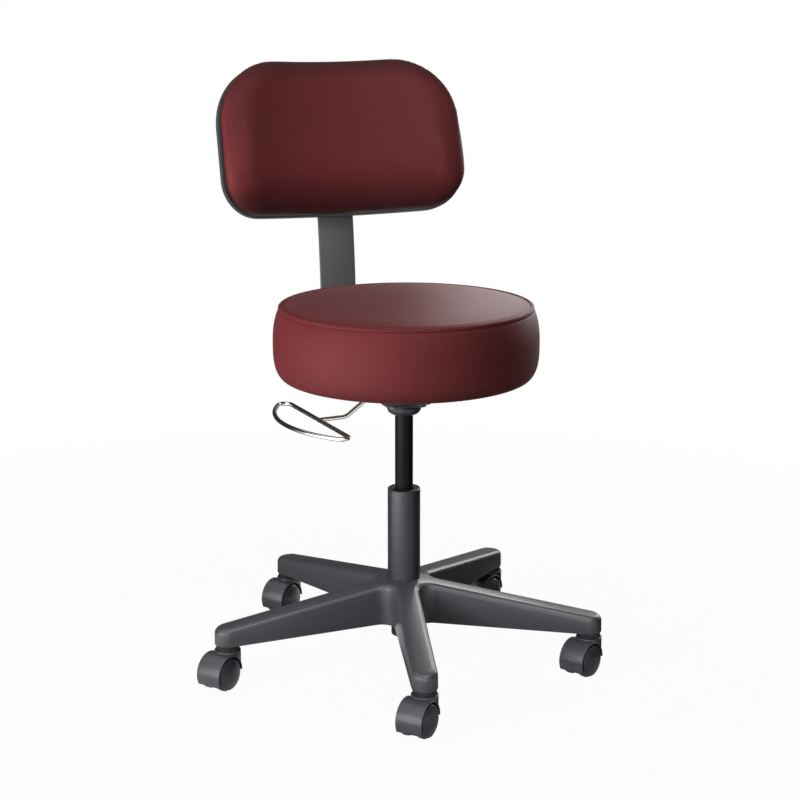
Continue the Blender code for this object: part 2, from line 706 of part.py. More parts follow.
def seat_bracket():
    """Pressed hat-section bracket across the column, open at its ends for the lever."""
    half = BRACKET_CHANNEL / 2 - BRACKET_SHEET / 2
    floor_z = BRACKET_Z + BRACKET_SHEET / 2
    flange_z = BRACKET_Z + BRACKET_HEIGHT - BRACKET_SHEET / 2
    section = [
        (-half - BRACKET_FLANGE, flange_z), (-half, flange_z), (-half, floor_z),
        (half, floor_z), (half, flange_z), (half + BRACKET_FLANGE, flange_z)]
    bm = bmesh.new()
    ends = []
    for x in (-BRACKET_LENGTH / 2, BRACKET_LENGTH / 2):
        ends.append([bm.verts.new((x, y, z)) for y, z in section])
    for i in range(len(section) - 1):
        bm.faces.new((ends[0][i], ends[1][i], ends[1][i + 1], ends[0][i + 1]))
    bracket = add("seat_bracket", mesh_from(bm, "seat_bracket"), BRACKET_PAINT, STOOL)
    sheet = bracket.modifiers.new("sheet", "SOLIDIFY")
    sheet.thickness = BRACKET_SHEET
    sheet.offset = 0
    sheet.use_even_offset = True
    below, above = BRACKET_Z - BRACKET_HEIGHT, flange_z - 2 * BRACKET_SHEET
    for side in (-1, 1):
        corner = prism(f"bracket_corner{side}", [
            (side * BRACKET_FOOT / 2, below),
            (side * BRACKET_FOOT / 2, BRACKET_Z + BRACKET_SHEET),
            (side * (BRACKET_LENGTH / 2 - BRACKET_SHEET), above),
            (side * BRACKET_LENGTH, above),
            (side * BRACKET_LENGTH, below),
        ], 2 * BRACKET_CHANNEL, STOOL)
        combine(bracket, corner)
    inside = BRACKET_Z + 2 * BRACKET_SHEET
    top = flange_z + BRACKET_HEIGHT
    neck = rod("bracket_neck_hole", SOCKET_NECK + FIT, below, inside, COLUMN_SIDES, parent=STOOL)
    combine(bracket, neck)
    for place in screw_places():
        hole = rod("bracket_screw_hole", SCREW_RADIUS + FIT, above, top, SMALL_SIDES, parent=STOOL)
        hole.location = place
        combine(bracket, hole)
    for side in (-1, 1):
        hole = rod("bracket_bolt_hole", BOLT_RADIUS + FIT, below, inside, SMALL_SIDES, parent=STOOL)
        hole.location = (side * BOLT_PITCH / 2, BOLT_BEHIND, 0)
        combine(bracket, hole)
    pivot = rod(
        "bracket_pivot_hole", PIVOT_RADIUS + FIT, -BRACKET_CHANNEL, BRACKET_CHANNEL,
        SMALL_SIDES, parent=STOOL)
    turn_to(pivot, (0, 1, 0))
    pivot.location = (LEVER_PIVOT_X, 0, LEVER_Z)
    combine(bracket, pivot)


def screw_places():
    """Where the four seat screws stand."""
    y = BRACKET_CHANNEL / 2 + BRACKET_FLANGE / 2
    return [(x * SCREW_PITCH / 2, side * y, 0) for x in (-1, 1) for side in (-1, 1)]


def headed(name, shank, head, head_height, low, high, parent):
    """A round-headed screw or bolt along Z, head down, its shank up to the given height."""
    return turned(name, [
        (0, high),
        (shank, high),
        (shank, low + head_height),
        (head, low + head_height),
        (head, low + head_height / 3),
        (0.7 * head, low),
        (0, low),
    ], SMALL_SIDES, STEEL, parent)


def fasteners():
    """Screws into the seat board, and bolts that hold upright and bracket together."""
    flange_z = BRACKET_Z + BRACKET_HEIGHT - BRACKET_SHEET
    for index, place in enumerate(screw_places()):
        screw = headed(
            f"seat_screw_{index + 1}", SCREW_RADIUS, SCREW_HEAD_RADIUS, SCREW_HEAD,
            flange_z - FIT - SCREW_HEAD, SEAT_Z + SCREW_GRIP, STOOL)
        screw.location = place
    for side, name in ((-1, "right"), (1, "left")):
        bolt = headed(
            f"upright_bolt_{name}", BOLT_RADIUS, BOLT_HEAD_RADIUS, SCREW_HEAD,
            BAR_Z - FIT - SCREW_HEAD, BRACKET_Z + BRACKET_SHEET + BOLT_PROUD, STOOL)
        bolt.location = (side * BOLT_PITCH / 2, BOLT_BEHIND, 0)


def release_lever():
    """Bent rod with a ring handle that follows the seat's edge, welded to a pivot sleeve."""
    out = Vector((-cos(LEVER_TURN), -sin(LEVER_TURN), 0))
    across = Vector((sin(LEVER_TURN), -cos(LEVER_TURN), 0))
    column_axis = Vector((-LEVER_PIVOT_X, 0, 0))
    corner_out = RING_CHORD + RING_CORNER
    corner_across = sqrt((RING_ARC - RING_CORNER) ** 2 - corner_out ** 2)
    swing = atan2(corner_across, corner_out)
    plan = arc((corner_out, corner_across), RING_CORNER, pi, swing, 5)
    plan += arc((0, 0), RING_ARC, swing, -swing, 10)[1:-1]
    plan += arc((corner_out, -corner_across), RING_CORNER, -swing, -pi, 5)
    down = Vector((0, 0, -LEVER_DROP))
    ring_path = [column_axis + out * u + across * v + down for u, v in plan]
    lever = wire("lever_ring", ring_path, LEVER_ROD, closed=True)

    weld = column_axis + out * (RING_CHORD + LEVER_ROD / 2) + down
    away = (weld - Vector((0, 0, weld.z))).normalized()
    inner_end = Vector((-LEVER_PIVOT_X + LEVER_PAST_VALVE, 0, 0))
    slope_foot = away * (LEVER_SHOULDER + LEVER_SLOPE) + down
    path = rounded_path([inner_end, away * LEVER_SHOULDER, slope_foot, weld], LEVER_BEND, 4)
    arm = wire("lever_arm", path, LEVER_ROD)
    half = SLEEVE_LENGTH / 2
    sleeve = rod("lever_sleeve", SLEEVE_RADIUS, -half, half, SMALL_SIDES)
    bore = rod("lever_bore", PIVOT_RADIUS + FIT, -SLEEVE_LENGTH, SLEEVE_LENGTH, SMALL_SIDES)
    for piece in (sleeve, bore):
        turn_to(piece, (0, 1, 0))
    combine(lever, arm, "UNION")
    combine(lever, sleeve, "UNION")
    combine(lever, bore)
    pivot = empty("lever_pivot", (LEVER_PIVOT_X, 0, LEVER_Z), STOOL)
    add("release_lever", baked(lever), CHROME, pivot)

    reach = BRACKET_CHANNEL / 2 + FIT
    pin = headed(
        "lever_pivot_pin", PIVOT_RADIUS, PIVOT_HEAD_RADIUS, PIVOT_HEAD,
        -reach - PIVOT_HEAD, reach + PIVOT_PROUD, pivot)
    turn_to(pin, (0, 1, 0))


def seat_profile(inset):
    """Cover's section from the crown down to the turned-in lip, drawn in by an inset."""
    seam_z = SEAT_Z + SEAT_HEIGHT - inset
    seam = SEAT_SEAM_RADIUS - inset
    widest = SEAT_RADIUS - inset
    bulge_z = SEAT_Z + SEAT_BULGE_AT
    groove = seam - SEAT_BEAD
    lip = SEAT_RADIUS - SEAT_ROLL - SEAT_LIP + inset
    crown = [(0, seam_z + SEAT_CROWN)]
    for share in (0.35, 0.65, 0.88):
        crown.append((share * groove, seam_z + SEAT_CROWN * (1 - share ** 2)))
    bead = [(seam - SEAT_BEAD / 2, seam_z + SEAT_BEAD / 3), (seam, seam_z - SEAT_BEAD / 2)]
    bead += [(groove + SEAT_BEAD / 3, seam_z - 1.3 * SEAT_BEAD)]
    rise = seam_z - 1.3 * SEAT_BEAD - bulge_z
    upper = []
    for share in (0.85, 0.6, 0.3):
        upper.append((widest - (widest - groove) * share ** 4, bulge_z + rise * share))
    fall = bulge_z - SEAT_Z - SEAT_ROLL
    lower = [(widest, bulge_z), (widest - 0.15 * SEAT_ROLL, bulge_z - 0.75 * fall)]
    roll_at = (widest - SEAT_ROLL, SEAT_Z + SEAT_ROLL)
    roll = arc(roll_at, SEAT_ROLL - inset, radians(-20), radians(-90), 4)
    return crown + bead + upper + lower + roll + [(lip, SEAT_Z + inset)]


def seat():
    """Plywood board, foam, and the sewn cover turned in under the board."""
    place = empty("seat_frame", (0, -SEAT_FORWARD, 0), STOOL)
    outer = seat_profile(0)
    board_radius = SEAT_RADIUS - SEAT_ROLL - SEAT_LIP - FIT
    inner = [(0, SEAT_Z + SEAT_HEIGHT + SEAT_CROWN - COVER)]
    inner += [(SEAT_SEAM_RADIUS - SEAT_BEAD - COVER, SEAT_Z + SEAT_HEIGHT - 2 * COVER)]
    inner += [(SEAT_RADIUS - 2.5 * COVER, SEAT_Z + SEAT_BULGE_AT + SEAT_ROLL)]
    inner += [(SEAT_RADIUS - 2 * COVER, SEAT_Z + SEAT_BULGE_AT - SEAT_ROLL)]
    inner += [(SEAT_RADIUS - SEAT_ROLL, SEAT_Z + COVER + FIT)]
    inner += [(board_radius + FIT, SEAT_Z + COVER + FIT)]
    turned("seat_cover", outer + inner[::-1], SEAT_SIDES, VINYL, place)

    foam = [(max(0, r - FIT), z - FIT) for r, z in inner[:4]]
    board_top = SEAT_Z + SEAT_BOARD
    foam_foot = board_top + FIT
    foam += [(board_radius + COVER, foam_foot), (0, foam_foot)]
    turned("seat_foam", foam, SEAT_SIDES, FOAM, place)

    board = rod("seat_board", board_radius, SEAT_Z, board_top, SEAT_SIDES, PLYWOOD, place)
    for x, y, _ in screw_places():
        hole = rod(
            "board_screw_hole", SCREW_RADIUS + FIT, SEAT_Z - SEAT_BOARD,
            SEAT_Z + SCREW_GRIP + FIT, SMALL_SIDES, parent=STOOL)
        hole.location = (x, y, 0)
        combine(board, hole)


def back_outline(inset):
    """Front view of the back pad: wide upper corners, tighter lower ones."""
    half, tall = BACK_WIDTH / 2 - inset, BACK_HEIGHT / 2 - inset
    top, low = BACK_TOP_CORNER - inset, BACK_BOTTOM_CORNER - inset
    plan = arc((half - low, low - tall), low, -pi / 2, 0, 5)
    plan += arc((half - top, tall - top), top, 0, pi / 2, 6)
    plan += arc((top - half, tall - top), top, pi / 2, pi, 6)
    plan += arc((low - half, low - tall), low, pi, 1.5 * pi, 5)
    return plan


def hollow(x):
    """How far the back pad comes forward at a distance from its middle, strip by strip."""
    strip = BACK_WIDTH / BACK_STRIPS
    near = floor(abs(x) / strip + 1e-6) * strip
    share = (abs(x) - near) / strip
    return ((1 - share) * near ** 2 + share * (near + strip) ** 2) / (2 * BACK_CURVE)


def back_block(inset, front, back, front_edge, rear_edge, crown, open_side=None):
    """A block on the pad's outline, rounded front and back, crowned and bent round the sitter.

    The open side, "front" or "back", is left out for a shell.
    """
    bm = bmesh.new()
    outline = back_outline(inset)
    face = bm.faces.new([bm.verts.new((x, back, z)) for x, z in outline])
    lifted = bmesh.ops.extrude_face_region(bm, geom=[face])["geom"]
    moved = [v for v in lifted if isinstance(v, bmesh.types.BMVert)]
    bmesh.ops.translate(bm, vec=(0, front - back, 0), verts=moved)
    for depth, size, steps in ((front, front_edge, 3), (back, rear_edge, 2)):
        if size:
            rim = [e for e in bm.edges if all(abs(v.co.y - depth) < 1e-6 for v in e.verts)]
            bmesh.ops.bevel(
                bm, geom=rim, offset=size, segments=steps, profile=0.5, affect="EDGES",
                clamp_overlap=True)
    if open_side:
        depth = front if open_side == "front" else back
        flat = [f for f in bm.faces if all(abs(v.co.y - depth) < 1e-6 for v in f.verts)]
        bmesh.ops.delete(bm, geom=flat, context="FACES")
    half, tall = BACK_WIDTH / 2, BACK_HEIGHT / 2
    for direction, size, cuts in (("X", half, BACK_STRIPS), ("Z", tall, BACK_ROWS)):
        normal = Vector((direction == "X", 0, direction == "Z"))
        for i in range(1, cuts):
            bmesh.ops.bisect_plane(
                bm, geom=bm.verts[:] + bm.edges[:] + bm.faces[:],
                plane_co=normal * size * (2 * i / cuts - 1), plane_no=normal)
    for vert in bm.verts:
        x, y, z = vert.co
        forward = (back - y) / (back - front)
        swell = crown * forward * max(0, 1 - (x / half) ** 2) * max(0, 1 - (z / tall) ** 2)
        vert.co.y = y - hollow(x) - swell
    return bm


def shell_of(obj, thickness):
    """Thickens an open surface inward."""
    wall = obj.modifiers.new("wall", "SOLIDIFY")
    wall.thickness = thickness
    wall.offset = -1
    wall.use_even_offset = True
    return obj


def backrest():
    """Rear shell, board, foam and cover, in a frame on the upright's front face."""
    shell_back = -FIT
    shell_front = shell_back - SHELL_DEPTH
    pad_back = shell_front - FIT
    pad_front = pad_back - BACK_PAD
    board_back = pad_back
    board_front = board_back - BACK_BOARD

    cover_bm = back_block(
        0, pad_front, pad_back, BACK_FRONT_EDGE, BACK_REAR_EDGE, BACK_CROWN, "back")
    shell_of(add("back_cover", mesh_from(cover_bm, "back_cover"), VINYL, BACK), COVER)

    foam_inset = COVER + FOAM_SLACK
    foam_bm = back_block(
        foam_inset, pad_front + foam_inset, board_front - FIT,
        BACK_FRONT_EDGE - foam_inset, 0, BACK_CROWN)
    add("back_foam", mesh_from(foam_bm, "back_foam"), FOAM, BACK)

    board_bm = back_block(BACK_BOARD_INSET, board_front, board_back, 0, 0, 0)
    board = add("back_board", mesh_from(board_bm, "back_board"), PLYWOOD, BACK)

    shell_bm = back_block(-SHELL_PROUD, shell_front, shell_back, 0, SHELL_EDGE, 0, "front")
    shell = add("back_shell", mesh_from(shell_bm, "back_shell"), SHELL_PLASTIC, BACK)
    shell_of(shell, SHELL_WALL)

    bolt_head = BAR_THICKNESS + 2 * FIT
    for side, name in ((-1, "lower"), (1, "upper")):
        place = (0, 0, side * BACK_BOLT_PITCH / 2)
        boss = rod(
            f"shell_boss_{name}", BOSS_RADIUS, board_back + FIT, shell_back - SHELL_WALL / 2,
            SMALL_SIDES, parent=BACK)
        hole = rod(
            f"back_bolt_hole_{name}", BACK_BOLT_RADIUS + FIT, board_back - BACK_BOLT_GRIP - FIT,
            BAR_THICKNESS, SMALL_SIDES, parent=BACK)
        for cutter in (boss, hole):
            turn_to(cutter, (0, 1, 0))
            cutter.location = place
        combine(shell, boss, "UNION")
        combine(shell, hole)
        combine(board, hole)
        bolt = headed(
            f"back_bolt_{name}", BACK_BOLT_RADIUS, BOLT_HEAD_RADIUS, SCREW_HEAD,
            -bolt_head - SCREW_HEAD, BACK_BOLT_GRIP - board_back, BACK)
        turn_to(bolt, (0, -1, 0))
        bolt.location = place


def hood_mesh():
    """Caster body round its stem axis: hood over both wheels, web, stem housing and rim."""
    width = HOOD_WEB + 2 * (FIT + WHEEL_WIDTH)
    middle = (TRAIL, 0, AXLE_Z)
    hood = turn_to(rod("hood", HOOD_RADIUS, -width / 2, width / 2, HOOD_SIDES), (0, 1, 0))
    hood.location = middle
    housing_foot = RIM_Z - STEM_HOUSING_LENGTH
    housing = rod("stem_housing", STEM_HOUSING_RADIUS, housing_foot, RIM_Z, HOOD_SIDES)
    combine(hood, housing, "UNION")
    reach = 2 * HOOD_RADIUS
    for side in (-1, 1):
        low, high = sorted((side * HOOD_WEB / 2, side * (width / 2 + reach)))
        well = turn_to(rod(f"wheel_well{side}", HOOD_BORE, low, high, HOOD_SIDES), (0, 1, 0))
        well.location = middle
        combine(hood, well)
    combine(hood, box("hood_lip", (-reach, -reach, -reach), (2 * reach, reach, HOOD_LIP_Z)))
    combine(hood, box("hood_rear", (-reach, -reach, -reach), (STEM_RADIUS, reach, housing_foot)))
    recess_z = RIM_Z - RIM_RECESS
    rim = STEM_HOUSING_RADIUS - RIM_WALL
    combine(hood, rod("rim_recess", rim, recess_z, RIM_Z + reach, HOOD_SIDES))
    bore = rod("stem_bore", STEM_RADIUS + RUNNING, recess_z - STEM_IN_HOOD - FIT, RIM_Z, SMALL_SIDES)
    combine(hood, bore)
    axle_bore = turn_to(rod("axle_bore", AXLE_RADIUS + FIT, -reach, reach, SMALL_SIDES), (0, 1, 0))
    axle_bore.location = middle
    combine(hood, axle_bore)
    return baked(hood)


def wheel_mesh():
    """One wheel along Z, inner face at z = 0, with a flat of its tread facing down once laid."""
    ring = WHEEL_RADIUS / cos(pi / WHEEL_SIDES)
    face = WHEEL_WIDTH
    depth = WHEEL_WIDTH - AXLE_COVER
    bore = AXLE_RADIUS + RUNNING
    wheel = turned("wheel", [
        (0, face + WHEEL_DOME),
        (0.55 * ring, face + 0.68 * WHEEL_DOME),
        (0.86 * ring, face),
        (ring - WHEEL_EDGE, face - WHEEL_EDGE / 2),
        (ring, face - 2 * WHEEL_EDGE),
        (ring, 0),
        (bore, 0),
        (bore, depth),
        (0, depth),
    ], WHEEL_SIDES)
    wheel.rotation_euler.z = pi / WHEEL_SIDES
    return baked(wheel)


def stem_mesh():
    """Steel stem with the shoulder that carries the arm."""
    recess_z = RIM_Z - RIM_RECESS
    shoulder = COLLAR_Z - FIT
    return baked(turned("stem", [
        (0, COLLAR_Z + STEM_IN_ARM),
        (0.8 * STEM_RADIUS, COLLAR_Z + STEM_IN_ARM),
        (STEM_RADIUS, COLLAR_Z + STEM_IN_ARM - STEM_RADIUS / 2),
        (STEM_RADIUS, shoulder),
        (STEM_SHOULDER_RADIUS, shoulder),
        (STEM_SHOULDER_RADIUS, recess_z + FIT),
        (STEM_RADIUS, recess_z + FIT),
        (STEM_RADIUS, recess_z - STEM_IN_HOOD),
        (0, recess_z - STEM_IN_HOOD),
    ], SMALL_SIDES))


def casters():
    """Five casters, each on an empty on its stem's axis."""
    hood, wheel, stem = hood_mesh(), wheel_mesh(), stem_mesh()
    reach = HOOD_WEB / 2 + FIT + WHEEL_WIDTH - AXLE_COVER - RUNNING
    axle = rod("axle", AXLE_RADIUS, -reach, reach, SMALL_SIDES).data
    for index, (name, turn) in enumerate(CASTER_TURNS.items()):
        place = arm_frame(index) @ Vector((STEM_CIRCLE, 0, 0))
        swivel = empty(f"caster_{name}", place, STOOL, (0, 0, radians(turn)))
        add(f"caster_stem_{name}", stem.copy(), STEEL, swivel)
        add(f"caster_hood_{name}", hood.copy(), HOOD_PLASTIC, swivel)
        pin = add(f"caster_axle_{name}", axle.copy(), STEEL, swivel)
        turn_to(pin, (0, 1, 0))
        pin.location = (TRAIL, 0, AXLE_Z)
        for side, hand in ((-1, "right"), (1, "left")):
            disc = add(f"wheel_{name}_{hand}", wheel.copy(), WHEEL_PLASTIC, swivel)
            turn_to(disc, (0, side, 0))
            disc.location = (TRAIL, side * (HOOD_WEB / 2 + FIT), AXLE_Z)


STOOL = empty("stool", (*COLUMN_AT, 0))
BAR_TOP = bar_path()[-2]
BACK_PLACE = (
    0,
    BAR_TOP[0] + BACK_ALONG_LEG * cos(BAR_TOP[2]) - BAR_THICKNESS / 2 * sin(BAR_TOP[2]),
    BAR_TOP[1] + BACK_ALONG_LEG * sin(BAR_TOP[2]) + BAR_THICKNESS / 2 * cos(BAR_TOP[2]),
)
BACK = empty("back_frame", BACK_PLACE, STOOL, (-BACK_LEAN, 0, 0))

base_star()
casters()
spindle(column())
pressure_tube()
taper_socket()
seat_bracket()
fasteners()
release_lever()
seat()
back_upright()
backrest()
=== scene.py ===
# %% [markdown]
# A clinic stool has a round padded seat on a gas column, a curved back pad on a bent steel bar
# and a five-arm moulded base on hooded casters. The solids were drawn and packed before, so this
# lesson loads them as a fixed frame and dresses them. The box around the solids is kept, because
# the dressed stool has to stay the same size.

# %% Load the frame
import json
from math import atan2, cos, pi, radians, sin, sqrt, tan

import bpy
import numpy as np
from mathutils import Matrix, Vector


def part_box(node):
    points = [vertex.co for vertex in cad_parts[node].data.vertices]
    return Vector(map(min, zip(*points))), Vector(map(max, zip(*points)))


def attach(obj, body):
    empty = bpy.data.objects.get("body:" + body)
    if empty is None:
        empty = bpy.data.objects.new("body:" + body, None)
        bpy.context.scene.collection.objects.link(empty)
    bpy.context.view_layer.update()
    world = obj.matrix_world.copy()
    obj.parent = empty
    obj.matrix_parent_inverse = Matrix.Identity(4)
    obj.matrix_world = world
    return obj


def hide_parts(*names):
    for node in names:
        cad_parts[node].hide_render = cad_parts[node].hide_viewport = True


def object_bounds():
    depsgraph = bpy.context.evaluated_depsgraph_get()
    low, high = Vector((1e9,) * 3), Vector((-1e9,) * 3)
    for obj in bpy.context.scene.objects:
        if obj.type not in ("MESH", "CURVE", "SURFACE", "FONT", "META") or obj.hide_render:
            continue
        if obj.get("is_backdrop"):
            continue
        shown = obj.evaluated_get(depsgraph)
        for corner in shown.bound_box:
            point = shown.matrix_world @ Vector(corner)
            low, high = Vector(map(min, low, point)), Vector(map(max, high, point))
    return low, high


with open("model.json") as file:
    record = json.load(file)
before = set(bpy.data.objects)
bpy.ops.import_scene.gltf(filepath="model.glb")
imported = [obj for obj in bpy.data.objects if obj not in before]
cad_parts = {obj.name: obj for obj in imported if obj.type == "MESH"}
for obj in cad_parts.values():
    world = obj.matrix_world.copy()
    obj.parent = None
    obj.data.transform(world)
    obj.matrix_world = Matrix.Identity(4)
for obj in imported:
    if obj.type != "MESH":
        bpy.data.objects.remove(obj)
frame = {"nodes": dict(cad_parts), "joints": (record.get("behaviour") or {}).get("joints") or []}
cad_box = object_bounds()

mm = 0.001
joints = {joint["name"]: joint for joint in frame["joints"]}
column = Vector((*joints["seat_swivel"]["pos_m"][:2], 0))
print("solids:", len(frame["nodes"]), "column at", [round(c, 4) for c in column])

# %% [markdown]
# The camera comes first, because everything is compared with the photograph. It stands a little to
# the stool's right, at about head height of someone seated, and looks down at thirteen degrees.
# A long lens keeps the legs of the base from spreading.

# %% Camera
eye = column + Vector((-0.9519, -2.5436, 1.0737))
gaze = Vector((0.3386, 0.9111, -0.2350)).normalized()
bpy.ops.object.camera_add(location=eye, rotation=gaze.to_track_quat("-Z", "Y").to_euler())
camera = bpy.context.object
camera.data.sensor_width = 36
camera.data.lens = 81.95
bpy.context.scene.camera = camera
print("camera", round((eye - column).length, 2), "m from the column")

# %% [markdown]
# Shader sums read best as ordinary sums. A value wraps a socket, and adding or multiplying two
# values adds the Math node that does it. All other nodes come from one method, which sets a node's
# own settings first and then its sockets, by a number, a colour or a link.

# %% Shader values
class Value:
    """A number on a socket that takes part in Python sums."""

    def __init__(self, finish, socket):
        self.finish = finish
        self.socket = socket

    def sum(self, operation, first, second):
        return self.finish.node("Math", {"operation": operation}, {0: first, 1: second})

    def __add__(self, other):
        return self.sum("ADD", self, other)

    def __radd__(self, other):
        return self.sum("ADD", other, self)

    def __sub__(self, other):
        return self.sum("SUBTRACT", self, other)

    def __rsub__(self, other):
        return self.sum("SUBTRACT", other, self)

    def __mul__(self, other):
        return self.sum("MULTIPLY", self, other)


class Finish:
    """The nodes of one material or of the world."""

    def __init__(self, owner):
        owner.use_nodes = True
        self.owner = owner
        self.tree = owner.node_tree

    def node(self, kind, settings=None, sockets=None, out=0):
        made = self.tree.nodes.new("ShaderNode" + kind)
        for key, value in (settings or {}).items():
            setattr(made, key, value)
        for key, value in (sockets or {}).items():
            self.join(value, made.inputs[key])
        return Value(self, made.outputs[out])

    def rising(self, value, start, end, low=0.0, high=1.0):
        """Goes smoothly from low to high while a value goes from start to end."""
        return self.node("MapRange", {"interpolation_type": "SMOOTHSTEP"}, {
            0: value, 1: start, 2: end, 3: low, 4: high})

    def join(self, value, socket):
        if isinstance(value, Value):
            self.tree.links.new(value.socket, socket)
        else:
            socket.default_value = value

    def surface(self, **sockets):
        """Sets or links sockets of the main shader, with spaces written as underscores."""
        shader = self.tree.nodes["Principled BSDF"]
        for key, value in sockets.items():
            self.join(value, shader.inputs[key.replace("_", " ")])
        return self.owner


def new_finish(name):
    """A new material, and the object's own coordinates for its patterns."""
    finish = Finish(bpy.data.materials.new(name))
    return finish, finish.node("TexCoord", out="Object")


print("shader values ready")

# %% [markdown]
# The studio is a pale floor under a white room. The camera sees white behind the stool. The floor
# also adds that white for the camera, and keeps the stool's soft shadow. For reflections the room
# is bright overhead and at the front left, paler at the back right and dim elsewhere, so that metal
# has something dark to show as well. The floor shines in front too, as a polished floor would, most of
# all under the key light, and in two strips, on the right and close behind, which draw thin light lines
# on the edges of the base. Further behind it is dark, and so the chromed ring gets a dark outline.

# %% Room and floor
room = Finish(bpy.data.worlds.new("room"))
bpy.context.scene.world = room.owner
ray = room.node("LightPath").socket.node
seen = Value(room, ray.outputs["Is Camera Ray"]) + Value(room, ray.outputs["Is Transmission Ray"])
glossy = Value(room, ray.outputs["Is Glossy Ray"])
way = room.node("TexCoord")
up, front, right, behind = (0.0, 0.0, 1.0), (-0.62, -0.78, 0.0), (0.79, -0.61, 0.0), (0.45, 0.89, 0.0)
far_right, rear_right = (0.93, -0.36, 0.0), (0.65, 0.76, 0.0)
key_low, key_high = (-0.94, -0.34, 0.0), (-0.93, -0.32, 0.17)
ambient, dim_room, dim_floor = 0.045, 0.03, 0.04


def towards(finish, way, direction, start, end):
    """Rises from zero to one as a way turns towards a direction."""
    share = finish.node("VectorMath", {"operation": "DOT_PRODUCT"}, {0: way, 1: direction}, out="Value")
    return finish.rising(share, start, end)


backdrop = towards(room, way, far_right, -0.08, 0.16) * towards(room, way, rear_right, 0.05, 0.60) * 0.2
ceiling = towards(room, way, up, 0.55, 0.85) * 0.9
front_wall = towards(room, way, front, 0.15, 0.55) * 0.95
key_image = towards(room, way, key_high, 0.88, 0.99) * 3.4
room_shine = backdrop + ceiling + front_wall + key_image + dim_room
around = room.node("Mix", {"data_type": "FLOAT"}, {0: glossy, 2: ambient, 3: room_shine})
shown = room.node("Mix", {"data_type": "FLOAT"}, {0: seen, 2: around, 3: 1.0})
room.join(shown, room.tree.nodes["Background"].inputs["Strength"])
room.tree.nodes["Background"].inputs["Color"].default_value = (1, 1, 1, 1)

bpy.ops.object.select_all(action="DESELECT")
bpy.ops.mesh.primitive_plane_add(size=60, location=(0, 0, 0))
floor = bpy.context.object
floor.name = "floor"
pale, spot = new_finish("floor_white")
floor_ray = pale.node("LightPath").socket.node
from_camera = Value(pale, floor_ray.outputs["Is Camera Ray"])
from_gloss = Value(pale, floor_ray.outputs["Is Glossy Ray"])
from_middle = pale.node("VectorMath", {"operation": "LENGTH"}, {0: spot}, out="Value")
floor_way = pale.node("VectorMath", {"operation": "NORMALIZE"}, {0: spot})
clear = pale.rising(from_middle, 0.2, 0.6)
far_out = pale.rising(from_middle, 1.0, 1.8)
in_front = towards(pale, floor_way, front, -0.10, 0.45) * clear * 0.95
right_strip = towards(pale, floor_way, right, 0.965, 0.996) * 0.3
rear_strip = towards(pale, floor_way, behind, 0.75, 0.95) * (0.95 - far_out * 0.9)
under_key = towards(pale, floor_way, key_low, 0.70, 0.97) * (0.5 + far_out * 8.0)
floor_shine = in_front + under_key + right_strip + rear_strip + dim_floor
white = pale.rising(from_middle, 0.5, 1.8, 0.965, 1.0)
matt = pale.node("BsdfDiffuse", sockets={"Color": (0.28, 0.28, 0.28, 1)})
glow = pale.node("Emission", sockets={"Color": 1 + from_gloss * (floor_shine - 1), "Strength": 1.0})
mixed = pale.node("MixShader", sockets={0: from_camera * white + from_gloss, 1: matt, 2: glow})
pale.join(mixed, pale.tree.nodes["Material Output"].inputs["Surface"])
floor.data.materials.append(pale.owner)
floor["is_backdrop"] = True
bpy.context.scene.view_settings.view_transform = "Standard"
print("room and floor ready")

# %% [markdown]
# Soft boxes light the stool: a broad key from the left at the back pad's height, a weaker one from
# high in front, a small near one behind that puts a sheen on the seat's top, and one from the right
# that draws a light line on the ridges of the arms. A weak low one in front keeps the base from going
# too dark. The key leaves no mirror image, so that the shiny seat doesn't glare when it is seen from
# across.

# %% Soft boxes
def soft_box(name, place, aim, size, watts, colour, spread=180, mirrored=True):
    at = column + Vector(place)
    beam = column + Vector(aim) - at
    bpy.ops.object.light_add(
        type="AREA", location=at, rotation=beam.to_track_quat("-Z", "Y").to_euler())
    lamp = bpy.context.object
    lamp.name = name
    lamp.data.shape = "RECTANGLE"
    lamp.data.size, lamp.data.size_y = size
    lamp.data.energy = watts
    lamp.data.color = colour
    lamp.data.spread = radians(spread)
    lamp.visible_glossy = mirrored
    lamp.visible_camera = False
    print(name, watts, "W")


soft_box("key_box", (-1.99, -0.68, 0.95), (0, 0, 0.6), (0.9, 0.8), 49, (0.98, 0.985, 1.02), mirrored=False)
soft_box("front_box", (-0.25, -1.5, 2.3), (0, 0, 0.7), (1.0, 0.8), 17, (1.0, 0.99, 0.98))
soft_box("rear_box", (0.75, 1.06, 1.0), (0, 0, 0.5), (0.36, 0.36), 4.5, (1.0, 0.98, 0.98))
soft_box("side_box", (1.65, 0.95, 0.9), (0, 0, 0.5), (0.9, 0.9), 13, (1.0, 0.99, 1.0))
soft_box("low_box", (-0.75, -1.9, 0.25), (0, 0, 0.02), (0.9, 0.35), 0.35, (1.0, 1.0, 1.0), 26)

# %% [markdown]
# Modelling works on whatever is selected, so each step first leaves one object alone. The helpers
# here open a mesh with chosen points, edges or faces selected, chosen by a test on their place or
# normal, draw it out, cut it, roll its edges over, and apply a modifier with its settings.

# %% Modelling helpers
def alone(piece):
    """Leaves one object selected and active."""
    bpy.ops.object.select_all(action="DESELECT")
    piece.select_set(True)
    bpy.context.view_layer.objects.active = piece
    return piece


